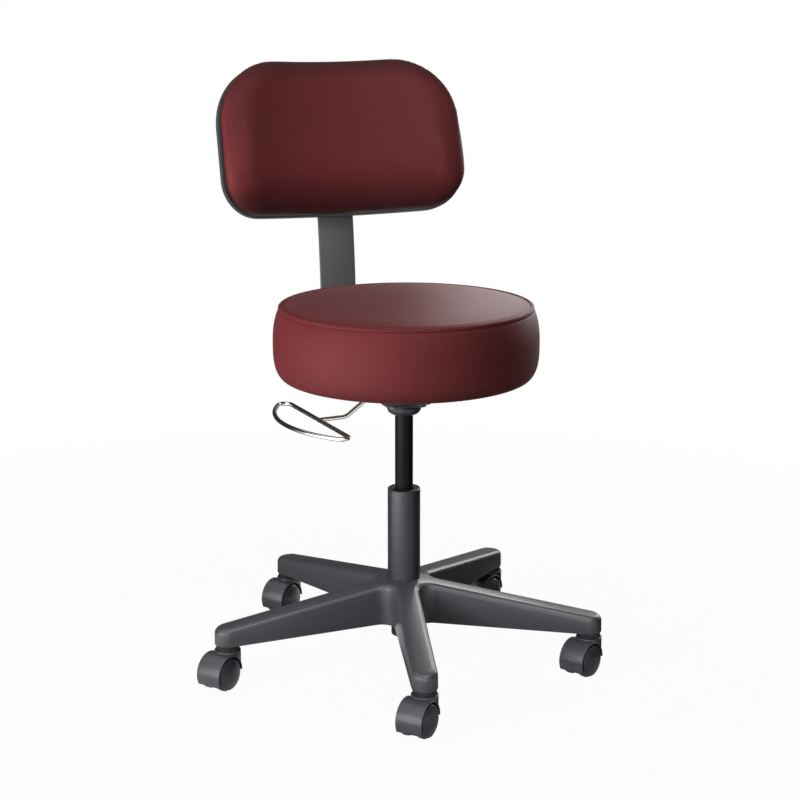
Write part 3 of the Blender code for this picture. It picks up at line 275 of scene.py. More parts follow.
def edit(piece, kind="VERT", chosen=None):
    """Opens edit mode with all selected, or with what passes a test."""
    alone(piece)
    bpy.ops.object.mode_set(mode="EDIT")
    bpy.ops.mesh.select_mode(type=kind)
    bpy.ops.mesh.select_all(action="DESELECT" if chosen else "SELECT")
    if chosen:
        bpy.ops.object.mode_set(mode="OBJECT")
        mesh = piece.data
        parts = {"VERT": mesh.vertices, "EDGE": mesh.edges, "FACE": mesh.polygons}[kind]
        for part in parts:
            part.select = chosen(part)
        bpy.ops.object.mode_set(mode="EDIT")


def shut():
    bpy.ops.object.mode_set(mode="OBJECT")


def closed_up(piece):
    """Merges doubled points and turns the faces outward."""
    edit(piece)
    bpy.ops.mesh.remove_doubles(threshold=1e-6)
    bpy.ops.mesh.normals_make_consistent(inside=False)
    shut()
    return piece


def finished_by(piece, kind, **settings):
    """Adds a modifier and applies it."""
    alone(piece)
    modifier = piece.modifiers.new(kind.lower(), kind)
    for key, value in settings.items():
        setattr(modifier, key, value)
    bpy.ops.object.modifier_apply(modifier=modifier.name)
    return piece


def extruded(piece, kind, shift):
    """Draws a line out into a strip, or a face into a block."""
    edit(piece, kind)
    bpy.ops.mesh.extrude_region_move(TRANSFORM_OT_translate={"value": shift})
    shut()
    return piece


def sliced(piece, place, normal, fill=False):
    """Takes off what lies beyond a plane."""
    edit(piece)
    bpy.ops.mesh.bisect(plane_co=place, plane_no=normal, use_fill=fill, clear_outer=True)
    shut()


def rolled(piece, chosen, size, steps, clamped=True):
    """Bevels the edges that pass a test."""
    edit(piece, "EDGE", chosen)
    bpy.ops.mesh.bevel(offset=size, segments=steps, affect="EDGES", clamp_overlap=clamped)
    shut()


def carved(piece, tool, operation="DIFFERENCE"):
    """Cuts or joins with another solid, which is used up."""
    finished_by(piece, "BOOLEAN", object=tool, operation=operation, solver="EXACT")
    bpy.data.objects.remove(tool)
    return piece


def placed(name):
    """Puts a new primitive's place into its mesh."""
    bpy.ops.object.transform_apply(location=True, rotation=True, scale=True)
    bpy.context.object.name = name
    return bpy.context.object


def block(name, size, place=(0, 0, 0)):
    """A box to cut with."""
    bpy.ops.object.select_all(action="DESELECT")
    bpy.ops.mesh.primitive_cube_add(size=1)
    bpy.context.object.scale = size
    bpy.context.object.location = place
    return placed(name)


def moved(piece, matrix):
    """Carries a piece to its place, in its mesh."""
    alone(piece)
    piece.matrix_world = matrix
    bpy.ops.object.transform_apply(location=True, rotation=True, scale=True)
    return piece


def copied(piece, name):
    """A copy with a mesh of its own."""
    alone(piece)
    bpy.ops.object.duplicate(linked=False)
    bpy.context.object.name = name
    return bpy.context.object


print("modelling helpers ready")

# %% [markdown]
# Most of the stool is drawn as a line first. A point is extruded from place to place, and the line
# is then spun into a turned piece, filled into a face, or swept. Corners are rounded while the line
# is drawn, so that every edge of a turned piece has its real radius.

# %% Lines and turned pieces
def rounded(corners, steps=5):
    """Points along a line whose corners are given as (place, radius)."""
    line = []
    for index, (here, radius) in enumerate(corners):
        here = Vector(here)
        if not radius:
            line.append(here)
            continue
        before = (Vector(corners[index - 1][0]) - here).normalized()
        after = (Vector(corners[(index + 1) % len(corners)][0]) - here).normalized()
        half = before.angle(after) / 2
        middle = here + (before + after).normalized() * radius / sin(half)
        start = here + before * radius / tan(half) - middle
        end = here + after * radius / tan(half) - middle
        turn = start.angle(end)
        for step in range(steps + 1):
            share = step / steps
            line.append(middle + (start * sin((1 - share) * turn) + end * sin(share * turn)) / sin(turn))
    return line


def drawn(name, points, filled=False):
    """A line of edges, or the face that it goes round."""
    points = [Vector(point) for point in points]
    bpy.ops.object.select_all(action="DESELECT")
    bpy.ops.mesh.primitive_plane_add(size=mm)
    line = placed(name)
    edit(line)
    bpy.ops.mesh.merge(type="CENTER")
    bpy.ops.transform.translate(value=points[0])
    for before, after in zip(points, points[1:]):
        bpy.ops.mesh.extrude_vertices_move(TRANSFORM_OT_translate={"value": after - before})
    if filled:
        bpy.ops.mesh.select_all(action="SELECT")
        bpy.ops.mesh.edge_face_add()
    shut()
    return line


def turned(name, profile, axis=(0, 0), steps=96):
    """A line of (radius, height) spun round an upright axis and closed."""
    piece = drawn(name, [(axis[0] + radius, axis[1], height) for radius, height in profile])
    edit(piece)
    bpy.ops.mesh.spin(steps=steps, angle=2 * pi, center=(axis[0], axis[1], 0), axis=(0, 0, 1))
    shut()
    return closed_up(piece)


def ring(corners, steps=5):
    """A rounded line of (radius, height, rounding) that comes back to its start."""
    line = rounded([((radius, height), rounding) for radius, height, rounding in corners], steps)
    return [tuple(point) for point in line + line[:1]]


def profile(corners, steps=5):
    """A rounded line of (radius, height, rounding) from the axis back to the axis."""
    return [tuple(point) for point in rounded(
        [((radius, height), rounding) for radius, height, rounding in corners], steps)]


def arc(centre, radius, start, end, steps):
    """Points on an arc, as (across, up)."""
    turn = (end - start) / steps
    return [
        (centre[0] + radius * cos(start + turn * i), centre[1] + radius * sin(start + turn * i))
        for i in range(steps + 1)]


print("lines and turned pieces ready")

# %% [markdown]
# Every visible piece needs its finish, its smooth shading, the body that it moves with and the
# solids that it stands for. One call does all of that and prints the piece's triangles.

# %% Dressing helper
def dress(piece, body, slot, finish, *nodes, angle=32):
    """Finishes a piece, hangs it on its body and hides the solids it stands for."""
    piece.data.materials.clear()
    piece.data.materials.append(finish)
    alone(piece)
    bpy.ops.object.shade_smooth_by_angle(angle=radians(angle))
    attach(piece, body)
    if nodes:
        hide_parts(*nodes)
    count = sum(len(face.vertices) - 2 for face in piece.data.polygons)
    print(piece.name, count, "triangles, on", body)
    return piece


print("dressing helper ready")

# %% [markdown]
# The covers are a burgundy vinyl with a fine pressed leather grain. Small rounded cells with
# creases between them give the grain, two finer noises break the cells up, and a broad one varies
# the tone a little, as a stretched cover does. Along the back pad's top and bottom rims a dark
# colour is painted in, as painted shade where the rolled cover turns away from the light. A weak
# sheen lightens it where it turns away.

# %% Vinyl
def noise(finish, place, scale, detail=2.0, rough=0.5):
    return finish.node("TexNoise", {}, {
        "Vector": place, "Scale": scale, "Detail": detail, "Roughness": rough}, out="Fac")


def stretched(finish, place, scales, detail, rough=0.5):
    """A noise with a scale of its own along each axis."""
    return noise(finish, finish.node("Mapping", {}, {"Vector": place, "Scale": scales}), 1.0, detail, rough)


def two_tones(finish, share, dark, light):
    return finish.node("Mix", {"data_type": "RGBA"}, {0: share, 6: (*dark, 1), 7: (*light, 1)}, out=2)


def bumped(finish, height, strength, distance):
    return finish.node("Bump", {}, {"Strength": strength, "Distance": distance, "Height": height})


def vinyl_finish():
    finish, place = new_finish("burgundy_vinyl_grained")
    cells = finish.node("TexVoronoi", {"feature": "DISTANCE_TO_EDGE"}, {
        "Vector": place, "Scale": 620.0, "Randomness": 0.9})
    crease = finish.rising(cells, 0.0, 0.28)
    pebble = noise(finish, place, 360.0, 3.0, 0.6)
    fine = noise(finish, place, 2400.0)
    broad = noise(finish, place, 7.0, 3.0)
    tone = broad * 0.45 + crease * 0.2 + pebble * 0.35
    panel = two_tones(finish, tone, (0.080, 0.0122, 0.0130), (0.155, 0.0243, 0.0264))
    # Painted shade: a mask that is strongest at the back pad's top and bottom rims mixes a dark colour into
    # the panel there.
    rim_shade = finish.node("Attribute", {"attribute_name": "rim_shade"}, out="Fac")
    rim_shade_colour = (0.016, 0.0040, 0.0056, 1)
    return finish.surface(
        Base_Color=finish.node("Mix", {"data_type": "RGBA"}, {0: rim_shade, 6: panel, 7: rim_shade_colour}, out=2),
        Roughness=0.42 + pebble * 0.14 + (1 - crease) * 0.10,
        Normal=bumped(finish, crease * 0.6 + pebble * 1.2 + fine * 0.3, 0.55, 0.32 * mm),
        Specular_IOR_Level=0.18,
        Sheen_Weight=0.04,
        Sheen_Roughness=0.35,
        Sheen_Tint=(0.95, 0.80, 0.82, 1))


vinyl = vinyl_finish()
print("finish:", vinyl.name)

# %% [markdown]
# The plastics are moulded in a spark-eroded tool, which leaves a fine even texture, and they show
# slow changes of gloss where they have been wiped. One function makes all of them, from a colour,
# a gloss and the size of the texture.

# %% Moulded plastics and rubber
def moulded_finish(name, colour, roughness, texture, depth, lift=1.22):
    finish, place = new_finish(name)
    fine = noise(finish, place, texture, 3.0, 0.6)
    wiped = noise(finish, place, 14.0, 4.0)
    light = tuple(channel * lift for channel in colour)
    return finish.surface(
        Base_Color=two_tones(finish, wiped * 0.7 + fine * 0.3, colour, light),
        Roughness=roughness - 0.08 + wiped * 0.12 + fine * 0.05,
        Normal=bumped(finish, fine, 0.18, depth),
        Specular_IOR_Level=0.5)


base_plastic = moulded_finish("base_moulding_grey", (0.050, 0.053, 0.058), 0.32, 900.0, 0.03 * mm)
hood_plastic = moulded_finish("caster_hood_grey", (0.046, 0.049, 0.054), 0.30, 1100.0, 0.03 * mm)
wheel_plastic = moulded_finish("caster_wheel_black", (0.025, 0.0285, 0.0345), 0.32, 1300.0, 0.05 * mm)
shell_plastic = moulded_finish("back_shell_charcoal", (0.055, 0.059, 0.063), 0.40, 700.0, 0.10 * mm)
bush_plastic = moulded_finish("guide_bush_black", (0.005, 0.005, 0.0055), 0.72, 1300.0, 0.04 * mm)
rubber = moulded_finish("stop_rubber", (0.010, 0.010, 0.010), 0.75, 500.0, 0.10 * mm)
print("moulded finishes ready")

# %% [markdown]
# The painted steel carries a baked powder coat, whose surface is slightly rippled like orange peel.
# The column's inner tube is a smooth black, ground round and round, so very fine rings run across
# it. A stretched noise makes the rings without any image.

# %% Painted steel
def powder_finish(name, colour, roughness, metallic):
    finish, place = new_finish(name)
    peel = noise(finish, place, 420.0, 2.0)
    dust = noise(finish, place, 1700.0, 2.0)
    slow = noise(finish, place, 10.0, 3.0)
    light = tuple(channel * 1.25 for channel in colour)
    return finish.surface(
        Base_Color=two_tones(finish, slow * 0.6 + dust * 0.4, colour, light),
        Roughness=roughness - 0.06 + slow * 0.08 + dust * 0.06,
        Metallic=metallic,
        Normal=bumped(finish, peel + dust * 0.3, 0.10, 0.12 * mm),
        Specular_IOR_Level=0.32)


def ground_black_finish():
    finish, place = new_finish("piston_ground_black")
    rings = stretched(finish, place, (40.0, 40.0, 3000.0), 2.0)
    slow = noise(finish, place, 18.0, 3.0)
    return finish.surface(
        Base_Color=two_tones(finish, rings, (0.0065, 0.0072, 0.0090), (0.0125, 0.0138, 0.0165)),
        Roughness=0.26 + rings * 0.10 + slow * 0.06,
        Metallic=0.1,
        Normal=bumped(finish, rings, 0.06, 0.03 * mm),
        Specular_IOR_Level=0.06)


tube_paint = powder_finish("tube_satin_grey", (0.032, 0.0345, 0.038), 0.33, 0.15)
bar_paint = powder_finish("upright_grey", (0.094, 0.094, 0.093), 0.40, 0.15)
bracket_paint = powder_finish("bracket_slate", (0.044, 0.050, 0.059), 0.38, 0.15)
piston_black = ground_black_finish()
print("painted finishes ready")

# %% [markdown]
# The lever is polished and chromed, so it is almost a mirror, with a faint haze of fine wiping
# marks. The screws, pins and stems are zinc plated: duller, with a mottled gloss.

# %% Bright metal
def metal_finish(name, colour, roughness, mottle, spread):
    finish, place = new_finish(name)
    cloud = noise(finish, place, mottle, 4.0)
    scratch = stretched(finish, place, (900.0, 60.0, 900.0), 3.0)
    light = tuple(min(1.0, channel * 1.08) for channel in colour)
    return finish.surface(
        Base_Color=two_tones(finish, cloud, colour, light),
        Metallic=1.0,
        Roughness=roughness + cloud * spread + scratch * spread * 0.5,
        Normal=bumped(finish, scratch, 0.03, 0.02 * mm))


chrome = metal_finish("lever_chrome", (0.80, 0.81, 0.83), 0.035, 60.0, 0.04)
zinc = metal_finish("zinc_steel", (0.58, 0.59, 0.61), 0.22, 240.0, 0.20)
print("bright metals ready")

# %% [markdown]
# The boards are birch plywood: pale, with long grain lines that wander. They are mostly hidden, and
# show when the stool is looked at from below or apart.

# %% Plywood
def plywood_finish():
    finish, place = new_finish("birch_plywood")
    grain = stretched(finish, place, (9.0, 130.0, 130.0), 5.0, 0.6)
    flecks = stretched(finish, place, (60.0, 900.0, 900.0), 2.0)
    return finish.surface(
        Base_Color=two_tones(finish, grain * 0.75 + flecks * 0.25, (0.33, 0.19, 0.09), (0.66, 0.46, 0.27)),
        Roughness=0.55 + grain * 0.2,
        Normal=bumped(finish, grain + flecks * 0.5, 0.15, 0.15 * mm))


plywood = plywood_finish()
print("plywood ready")

# %% [markdown]
# The base is one moulding with five arms that slope down to ball-like tips. Its plan is drawn once
# low and once high, drawn in a little by the mould's draft, and the two lines are bridged. Five
# sloping planes, one per arm, then cut the top, which leaves soft valleys between the arms, and a
# bevel rolls the top edges over.

# %% Base: plan and slopes
caster_names = ["front", "right", "rear_right", "rear_left", "left"]
stems = {name: Vector(joints["swivel_" + name]["pos_m"]) for name in caster_names}
stem_circle = (stems["front"] - column).to_2d().length
arm_angles = [atan2(*(stems[name] - column).to_2d().yx) for name in caster_names]
arm_foot = 65.5 * mm
arm_half = 19.3 * mm
arm_fillet = 20.0 * mm
arm_draft = 1.2 * mm
arm_edge = 8.0 * mm
foot_edge = 0.9 * mm
tip_height = 28.5 * mm
hub_height = 70.5 * mm
roof_spare = 5 * mm


def star_plan(draft, height):
    """Outline of the base at one height."""
    half, fillet, between = arm_half - draft, arm_fillet + draft, pi / 5
    reach = (half + fillet) / sin(between)
    root = (reach * cos(between), reach * sin(between))
    one = arc((stem_circle, 0), half, -pi / 2, pi / 2, 24)
    one += arc(root, fillet, 1.5 * pi, pi / 2 + 2 * between, 16)
    plan = []
    for angle in arm_angles:
        turn = Matrix.Rotation(angle, 2)
        for point in one:
            plan.append((*(turn @ Vector(point) + column.to_2d()), height))
    return plan


base = drawn("base_moulding", star_plan(0, arm_foot), filled=True)
roof = drawn("base_roof", star_plan(arm_draft, arm_foot + hub_height + roof_spare), filled=True)
alone(base)
roof.select_set(True)
bpy.ops.object.join()
edit(base, "FACE")
bpy.ops.mesh.bridge_edge_loops()
shut()
closed_up(base)
slope = (hub_height - tip_height) / stem_circle
hub_top = column + Vector((0, 0, arm_foot + hub_height))
for angle in arm_angles:
    sliced(base, hub_top, (slope * cos(angle), slope * sin(angle), 1), fill=True)
print("base outline", len(base.data.polygons), "faces")

# %% [markdown]
# The bevel runs only along the edges between the sloping top and the sides. They are found by the
# normals of the two faces that meet there. The lower edges get a small bevel of their own.

# %% Base: rolled edges
def between_faces(piece, test):
    """The edges whose two faces' normals pass a test."""
    sides = {}
    for face in piece.data.polygons:
        for key in face.edge_keys:
            sides.setdefault(key, []).append(face.normal.copy())
    return {key for key, normals in sides.items() if len(normals) == 2 and test(*sorted(
        normals, key=lambda normal: normal.z))}


for size, steps, test in (
        (arm_edge, 7, lambda low, high: high.z > 0.9 and abs(low.z) < 0.4),
        (foot_edge, 2, lambda low, high: low.z < -0.9 and abs(high.z) < 0.4)):
    chosen = between_faces(base, test)
    rolled(base, lambda edge: edge.key in chosen, size, steps)
    print("bevelled", len(chosen), "edges by", round(size / mm, 1), "mm")

# %% [markdown]
# Underneath, the arms are hollow between cross ribs, so that the walls cool evenly in the mould.
# A collar hangs under each tip, with the socket for the caster's stem, and the hub has a bore for
# the column. Each cutter is a box or a turned shape, shaped first and then used up by a boolean.

# %% Base: hollows, collars and bores
collar_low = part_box("base_star")[0].z
collar_radius, collar_edge = 13.5 * mm, 1.0 * mm
socket_radius, socket_mouth, socket_deep, socket_chamfer = 5.3 * mm, 6.5 * mm, 29.3 * mm, 1.2 * mm
wall, rib, past = 4.0 * mm, 3.0 * mm, 10.0 * mm
pocket_start, pocket_end, pocket_edge, pockets = 62.0 * mm, 29.0 * mm, 2.5 * mm, 3
pocket_pitch = (stem_circle - pocket_end - pocket_start + rib) / pockets


def arm_pocket(angle, start):
    """A tapering box under one arm, whose roof follows the arm's slope."""
    length = pocket_pitch - rib
    middle = start + length / 2
    box = block("pocket", (length, 2 * (arm_half - wall), 1.0))
    edit(box, "FACE", lambda face: face.normal.z > 0.9)
    bpy.ops.transform.resize(value=(1, (arm_half - 2 * wall) / (arm_half - wall), 1))
    shut()
    for vertex in box.data.vertices:
        roof_z = arm_foot + hub_height - slope * (middle + vertex.co.x) - wall
        vertex.co.z = roof_z if vertex.co.z > 0 else arm_foot - past
    edges = between_faces(box, lambda low, high: low.z > -0.5)
    rolled(box, lambda edge: edge.key in edges, pocket_edge, 3, clamped=False)
    return moved(box, Matrix.Translation(column) @ Matrix.Rotation(angle, 4, "Z")
                 @ Matrix.Translation((middle, 0, 0)))


for angle in arm_angles:
    for index in range(pockets):
        carved(base, arm_pocket(angle, pocket_start + index * pocket_pitch))
for at in stems.values():
    carved(base, turned("collar", profile([
        (0, arm_foot + wall, 0), (collar_radius, arm_foot + wall, 0),
        (collar_radius, collar_low, collar_edge), (0, collar_low, 0)]), at, 64), "UNION")
    carved(base, turned("socket", profile([
        (0, collar_low + socket_deep, 0), (socket_radius, collar_low + socket_deep, collar_edge),
        (socket_radius, collar_low, 0), (socket_mouth, collar_low - socket_chamfer, 0),
        (socket_mouth, collar_low - past, 0), (0, collar_low - past, 0)]), at, 32))
tube_low, tube_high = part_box("outer_tube")
tube_radius = (tube_high.x - tube_low.x) / 2
fit = 0.3 * mm
bore_radius, bore_top = tube_radius + fit, hub_top.z + 2 * past
carved(base, turned("hub_bore", [(0, bore_top), (bore_radius, bore_top), (bore_radius, 0), (0, 0)], column))
dress(base, "base", "base_plastic", base_plastic, "base_star", angle=28)

# %% [markdown]
# One caster is modelled round its own stem axis and copied five times. Its body is a level barrel
# over both wheels, joined to an upright stem housing. Two wells leave room for the wheels, the
# underside is cut open, and a recess at the top makes the dark ring under the arm.

# %% Caster body
axle_mid = (Vector(joints["roll_front_left"]["pos_m"]) + Vector(joints["roll_front_right"]["pos_m"])) / 2
trail = (axle_mid - stems["front"]).to_2d().length
axle_z = axle_mid.z
wheel_radius = axle_z
wheel_width = 12.5 * mm
web = 16.5 * mm
hood_bore = wheel_radius + 1.4 * mm
hood_radius = hood_bore + 1.9 * mm
hood_edge = 1.1 * mm
hood_half = web / 2 + fit + wheel_width
rim_z = stems["front"].z
housing_radius = 20.0 * mm
housing_foot = rim_z - 31.0 * mm
recess_radius, recess_z = housing_radius - 1.7 * mm, rim_z - 3.7 * mm
lip_z = 12.0 * mm
cut_edge, cut_long, cut_deep = 5.0 * mm, 80.0 * mm, 40.0 * mm
on_axle = Matrix.Translation((trail, 0, axle_z)) @ Matrix.Rotation(-pi / 2, 4, "X")

hood = moved(turned("caster_body", profile([
    (0, hood_half, 0), (hood_radius, hood_half, hood_edge), (hood_radius, -hood_half, hood_edge),
    (0, -hood_half, 0)], 4), steps=128), on_axle)
carved(hood, turned("housing", profile([
    (0, rim_z, 0), (housing_radius, rim_z, 1.2 * mm), (housing_radius, housing_foot, 1.5 * mm),
    (0, housing_foot, 0)], 4), steps=128), "UNION")
for side in (-1, 1):
    low, high = sorted((side * web / 2, side * (hood_half + past)))
    carved(hood, moved(turned("well", [
        (0, high), (hood_bore, high), (hood_bore, low), (0, low)], steps=128), on_axle))
sliced(hood, (0, 0, lip_z), (0, 0, -1), fill=True)
carved(hood, block("rear_cut", (cut_long, cut_long, cut_deep), (
    cut_edge - cut_long / 2, 0, housing_foot - cut_deep / 2)))
carved(hood, turned("recess", profile([
    (0, rim_z + past, 0), (recess_radius, rim_z + past, 0), (recess_radius, recess_z, 0.6 * mm),
    (0, recess_z, 0)], 3), steps=128))
print("caster body", len(hood.data.polygons), "faces")

# %% [markdown]
# The booleans leave sharp edges, and a moulding has none. A narrow bevel on every edge sharper than
# forty degrees catches the light along the hood's lip and rim. The bores come after it.

# %% Caster body: soft edges and bores
stem_radius, stem_up, stem_down = 5.0 * mm, 29.0 * mm, 22.0 * mm
axle_radius = 3.0 * mm
closed_up(hood)
finished_by(
    hood, "BEVEL", limit_method="ANGLE", angle_limit=radians(40), width=0.35 * mm, segments=2,
    use_clamp_overlap=True)
bore_radius, bore_foot = stem_radius + 0.4 * mm, recess_z - stem_down - fit
carved(hood, turned("stem_bore", [
    (0, rim_z), (bore_radius, rim_z), (bore_radius, bore_foot), (0, bore_foot)], steps=32))
bore_radius, bore_half = axle_radius + fit, 2 * hood_half
carved(hood, moved(turned("axle_bore", [
    (0, bore_half), (bore_radius, bore_half), (bore_radius, -bore_half), (0, -bore_half)], steps=24),
    on_axle))
print("caster body", len(hood.data.polygons), "faces with its edges softened")

# %% [markdown]
# A wheel is turned: a domed cap outside, a step behind it that leaves a dark ring inside the hood, a
# tread that is very slightly crowned, and a flat inner face with a boss round the axle. The two
# wheels of a caster are mirror images, so the right one is turned half way round. A black dust ring
# lies round the collar, between the arm and the hood.

# %% Wheel, stem and axle
wheel_bore, wheel_hub, cap_radius = 3.4 * mm, 8.5 * mm, 23.6 * mm
dome_radius, dome_middle, dome_reach = 50.9 * mm, -32.5 * mm, 0.473
dome = arc((0, dome_middle), dome_radius, pi / 2, pi / 2 - dome_reach, 16)
wheel = turned("wheel_disc", [
    *dome[:-1],
    *profile([
        (*dome[-1], 0), (cap_radius, 12.2 * mm, 0.3 * mm), (cap_radius, 8.3 * mm, 0.4 * mm),
        (wheel_radius - 0.3 * mm, 7.8 * mm, 0.8 * mm), (wheel_radius, 6.2 * mm, 0),
        (wheel_radius - 0.35 * mm, 0.4 * mm, 0.8 * mm), (22.0 * mm, 0.0, 0),
        (20.5 * mm, 1.8 * mm, 0.5 * mm), (9.0 * mm, 1.8 * mm, 0.5 * mm), (8.0 * mm, 0.0, 0.3 * mm),
        (wheel_bore, 0.0, 0), (wheel_bore, wheel_hub, 0), (0, wheel_hub, 0)], 4)], steps=96)
stem_top, stem_foot = collar_low + stem_up, recess_z - stem_down
stop_radius, stop_top, stop_foot = 9.0 * mm, collar_low - fit, recess_z + fit
stem = turned("stem_pin", profile([
    (0, stem_top, 0), (stem_radius, stem_top, 1.4 * mm), (stem_radius, stop_top, 0),
    (stop_radius, stop_top, 0.4 * mm), (stop_radius, stop_foot, 0.4 * mm), (stem_radius, stop_foot, 0),
    (stem_radius, stem_foot, 0.8 * mm), (0, stem_foot, 0)], 3), steps=48)
dust_hole, dust_radius = collar_radius + fit, 17.5 * mm
dust_top, dust_foot = arm_foot - 0.2 * mm, recess_z + 1.2 * mm
dust_ring = turned("dust_ring", ring([
    (dust_hole, dust_top, 0.3 * mm), (dust_radius, dust_top, 0.5 * mm),
    (dust_radius, dust_foot, 0.3 * mm), (dust_hole, dust_foot, 0.3 * mm)]), steps=96)
axle_half = web / 2 + fit + wheel_hub - 0.4 * mm
axle = turned("axle_pin", profile([
    (0, axle_half, 0), (axle_radius, axle_half, 0.5 * mm), (axle_radius, -axle_half, 0.5 * mm),
    (0, -axle_half, 0)], 2), steps=32)
print("wheel", len(wheel.data.polygons), "stem", len(stem.data.polygons), "faces")

# %% [markdown]
# The casters all trail in slightly different directions, as they do on a stool that was rolled into
# place. The frame's joints say where each stem stands and where its axle lies, and the copies are
# carried there.

# %% Five casters
for name in caster_names:
    ends = [Vector(joints[f"roll_{name}_{hand}"]["pos_m"]) for hand in ("left", "right")]
    away = (ends[0] + ends[1]) / 2 - stems[name]
    swivel = Matrix.Translation((*stems[name].to_2d(), 0)) @ Matrix.Rotation(atan2(away.y, away.x), 4, "Z")
    body = "caster_" + name
    dress(moved(copied(hood, "caster_body_" + name), swivel), body, "hood_plastic",
          hood_plastic, "caster_hood_" + name, angle=30)
    dress(moved(copied(stem, "stem_pin_" + name), swivel), "base", "bright_steel",
          zinc, "caster_stem_" + name)
    dress(moved(copied(dust_ring, "dust_ring_" + name), swivel), "base", "bush_plastic", bush_plastic)
    dress(moved(copied(axle, "axle_pin_" + name), swivel @ on_axle), body, "bright_steel",
          zinc, "caster_axle_" + name)
    for side, hand in ((1, "left"), (-1, "right")):
        beside = Matrix.Translation((trail, side * (web / 2 + fit), axle_z))
        lay = Matrix.Rotation(-side * pi / 2, 4, "X")
        dress(moved(copied(wheel, f"wheel_disc_{name}_{hand}"), swivel @ beside @ lay),
              f"wheel_{name}_{hand}", "wheel_plastic", wheel_plastic, f"wheel_{name}_{hand}", angle=30)
for used in (hood, stem, dust_ring, axle, wheel):
    bpy.data.objects.remove(used)

# %% [markdown]
# The column is turned all over. The grey outer tube has a drawn-in foot and a rounded mouth, the
# guide bush sits just under the mouth, and the black inner tube slides in it and ends in a taper.
# The cup above it is pressed, with a rounded belly and a thin flange under the bar.

# %% Column
def heights(node):
    """The lowest and the highest level of a solid."""
    low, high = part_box(node)
    return low.z, high.z


foot_z, mouth_z = heights("outer_tube")
bush_low, bush_top = heights("guide_bush")
piston_low, piston_top = heights("pressure_tube")
socket_low, socket_top = heights("taper_socket")
tube_wall, draw_radius = 2.6 * mm, 4.0 * mm
inner = tube_radius - tube_wall
neck_z = arm_foot - 5.5 * mm
foot_radius, rod_hole, foot_floor = 20.0 * mm, 4.4 * mm, foot_z + 3.0 * mm
foot_inner = foot_radius - tube_wall
dress(turned("column_tube", ring([
    (inner, mouth_z, 0.5 * mm), (tube_radius, mouth_z, 1.6 * mm), (tube_radius, arm_foot, draw_radius),
    (foot_radius, neck_z, draw_radius), (foot_radius, foot_z, 2.2 * mm), (rod_hole, foot_z, 0.3 * mm),
    (rod_hole, foot_floor, 0), (foot_inner, foot_floor, 0), (foot_inner, neck_z + tube_wall, 0),
    (inner, arm_foot + tube_wall, 0)]), column, 128), "base", "tube_paint", tube_paint, "outer_tube")
piston_radius, taper = 14.0 * mm, 1.1 * mm
bush_bore, bush_radius = piston_radius + 0.4 * mm, inner - fit
dress(turned("column_bush", ring([
    (bush_bore, bush_top, 1.2 * mm), (bush_radius, bush_top, 0.4 * mm), (bush_radius, bush_low, 0),
    (bush_bore, bush_low, 0)], 4), column, 96), "base", "bush_plastic", bush_plastic, "guide_bush")
valve_hole, piston_roof = 3.4 * mm, piston_top - 6.0 * mm
piston_bore = piston_radius - 1.5 * mm
dress(turned("column_piston", ring([
    (valve_hole, piston_top, 0.3 * mm), (piston_radius - taper, piston_top, 0.8 * mm),
    (piston_radius, socket_low, 0), (piston_radius, piston_low, 0.6 * mm),
    (piston_bore, piston_low, 0), (piston_bore, socket_low, 0),
    (piston_bore - taper, piston_roof, 0), (valve_hole, piston_roof, 0)], 4), column, 128),
    "seat", "piston_black", piston_black, "pressure_tube")

# %% [markdown]
# The cup's wall is a quarter-round belly. The valve pin and the rod that carries the column belong
# here too: plain turned steel with a small chamfer, seen through the bracket and from below.

# %% Cup, valve pin and rod
cup_low, cup_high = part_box("taper_socket")
cup_radius, cup_neck = (cup_high.x - cup_low.x) / 2, 18.0 * mm
flange_z, flange_thick = socket_low + 12.7 * mm, 2.0 * mm
belly_wide, belly_tall = 10.6 * mm, 10.0 * mm
belly_edge, belly_z = cup_radius - 1.6 * mm, flange_z - 2.4 * mm
mouth = piston_radius + fit
dress(turned("taper_cup", [
    *profile([
        (mouth - taper, socket_top, 0), (cup_neck, socket_top, 0.8 * mm), (cup_neck, flange_z, 0.3 * mm),
        (cup_radius, flange_z, 0.7 * mm), (cup_radius, flange_z - flange_thick, 0.7 * mm)], 4),
    *[(belly_edge - belly_wide * (1 - cos(turn)), belly_z - belly_tall * sin(turn))
      for turn in [radians(angle) for angle in (4, 15, 28, 41, 54, 66, 77, 85)]],
    (mouth + 0.6 * mm, socket_low + 0.05 * mm), (mouth, socket_low + 0.4 * mm),
    (mouth - taper, socket_top)], column, 128), "seat", "bracket_paint", bracket_paint, "taper_socket")
valve_low, valve_top = heights("valve_pin")
valve_radius = 3.0 * mm
dress(turned("valve_button", profile([
    (0, valve_top, 0), (valve_radius, valve_top, 1.2 * mm), (valve_radius, valve_low, 0.4 * mm),
    (0, valve_low, 0)], 4), column, 32), "valve", "bright_steel", zinc, "valve_pin")
rod_low, rod_top = heights("piston_rod")
shoulder_low, shoulder_top = heights("bump_stop")[0], rod_top - 11.3 * mm
rod_shaft, rod_end = 5.0 * mm, 4.0 * mm
dress(turned("column_rod", profile([
    (0, rod_top, 0), (rod_end, rod_top, 0.5 * mm), (rod_end, shoulder_top, 0),
    (rod_shaft, shoulder_top, 0.3 * mm), (rod_shaft, shoulder_low, 0.3 * mm), (rod_end, shoulder_low, 0),
    (rod_end, rod_low, 0.6 * mm), (0, rod_low, 0)], 3), column, 48),
    "spindle", "bright_steel", zinc, "piston_rod")

# %% [markdown]
# A spring clip on the rod's foot keeps the column together. It is a flat ring, turned and then
# slit, with its two ends drawn apart by a small cut.

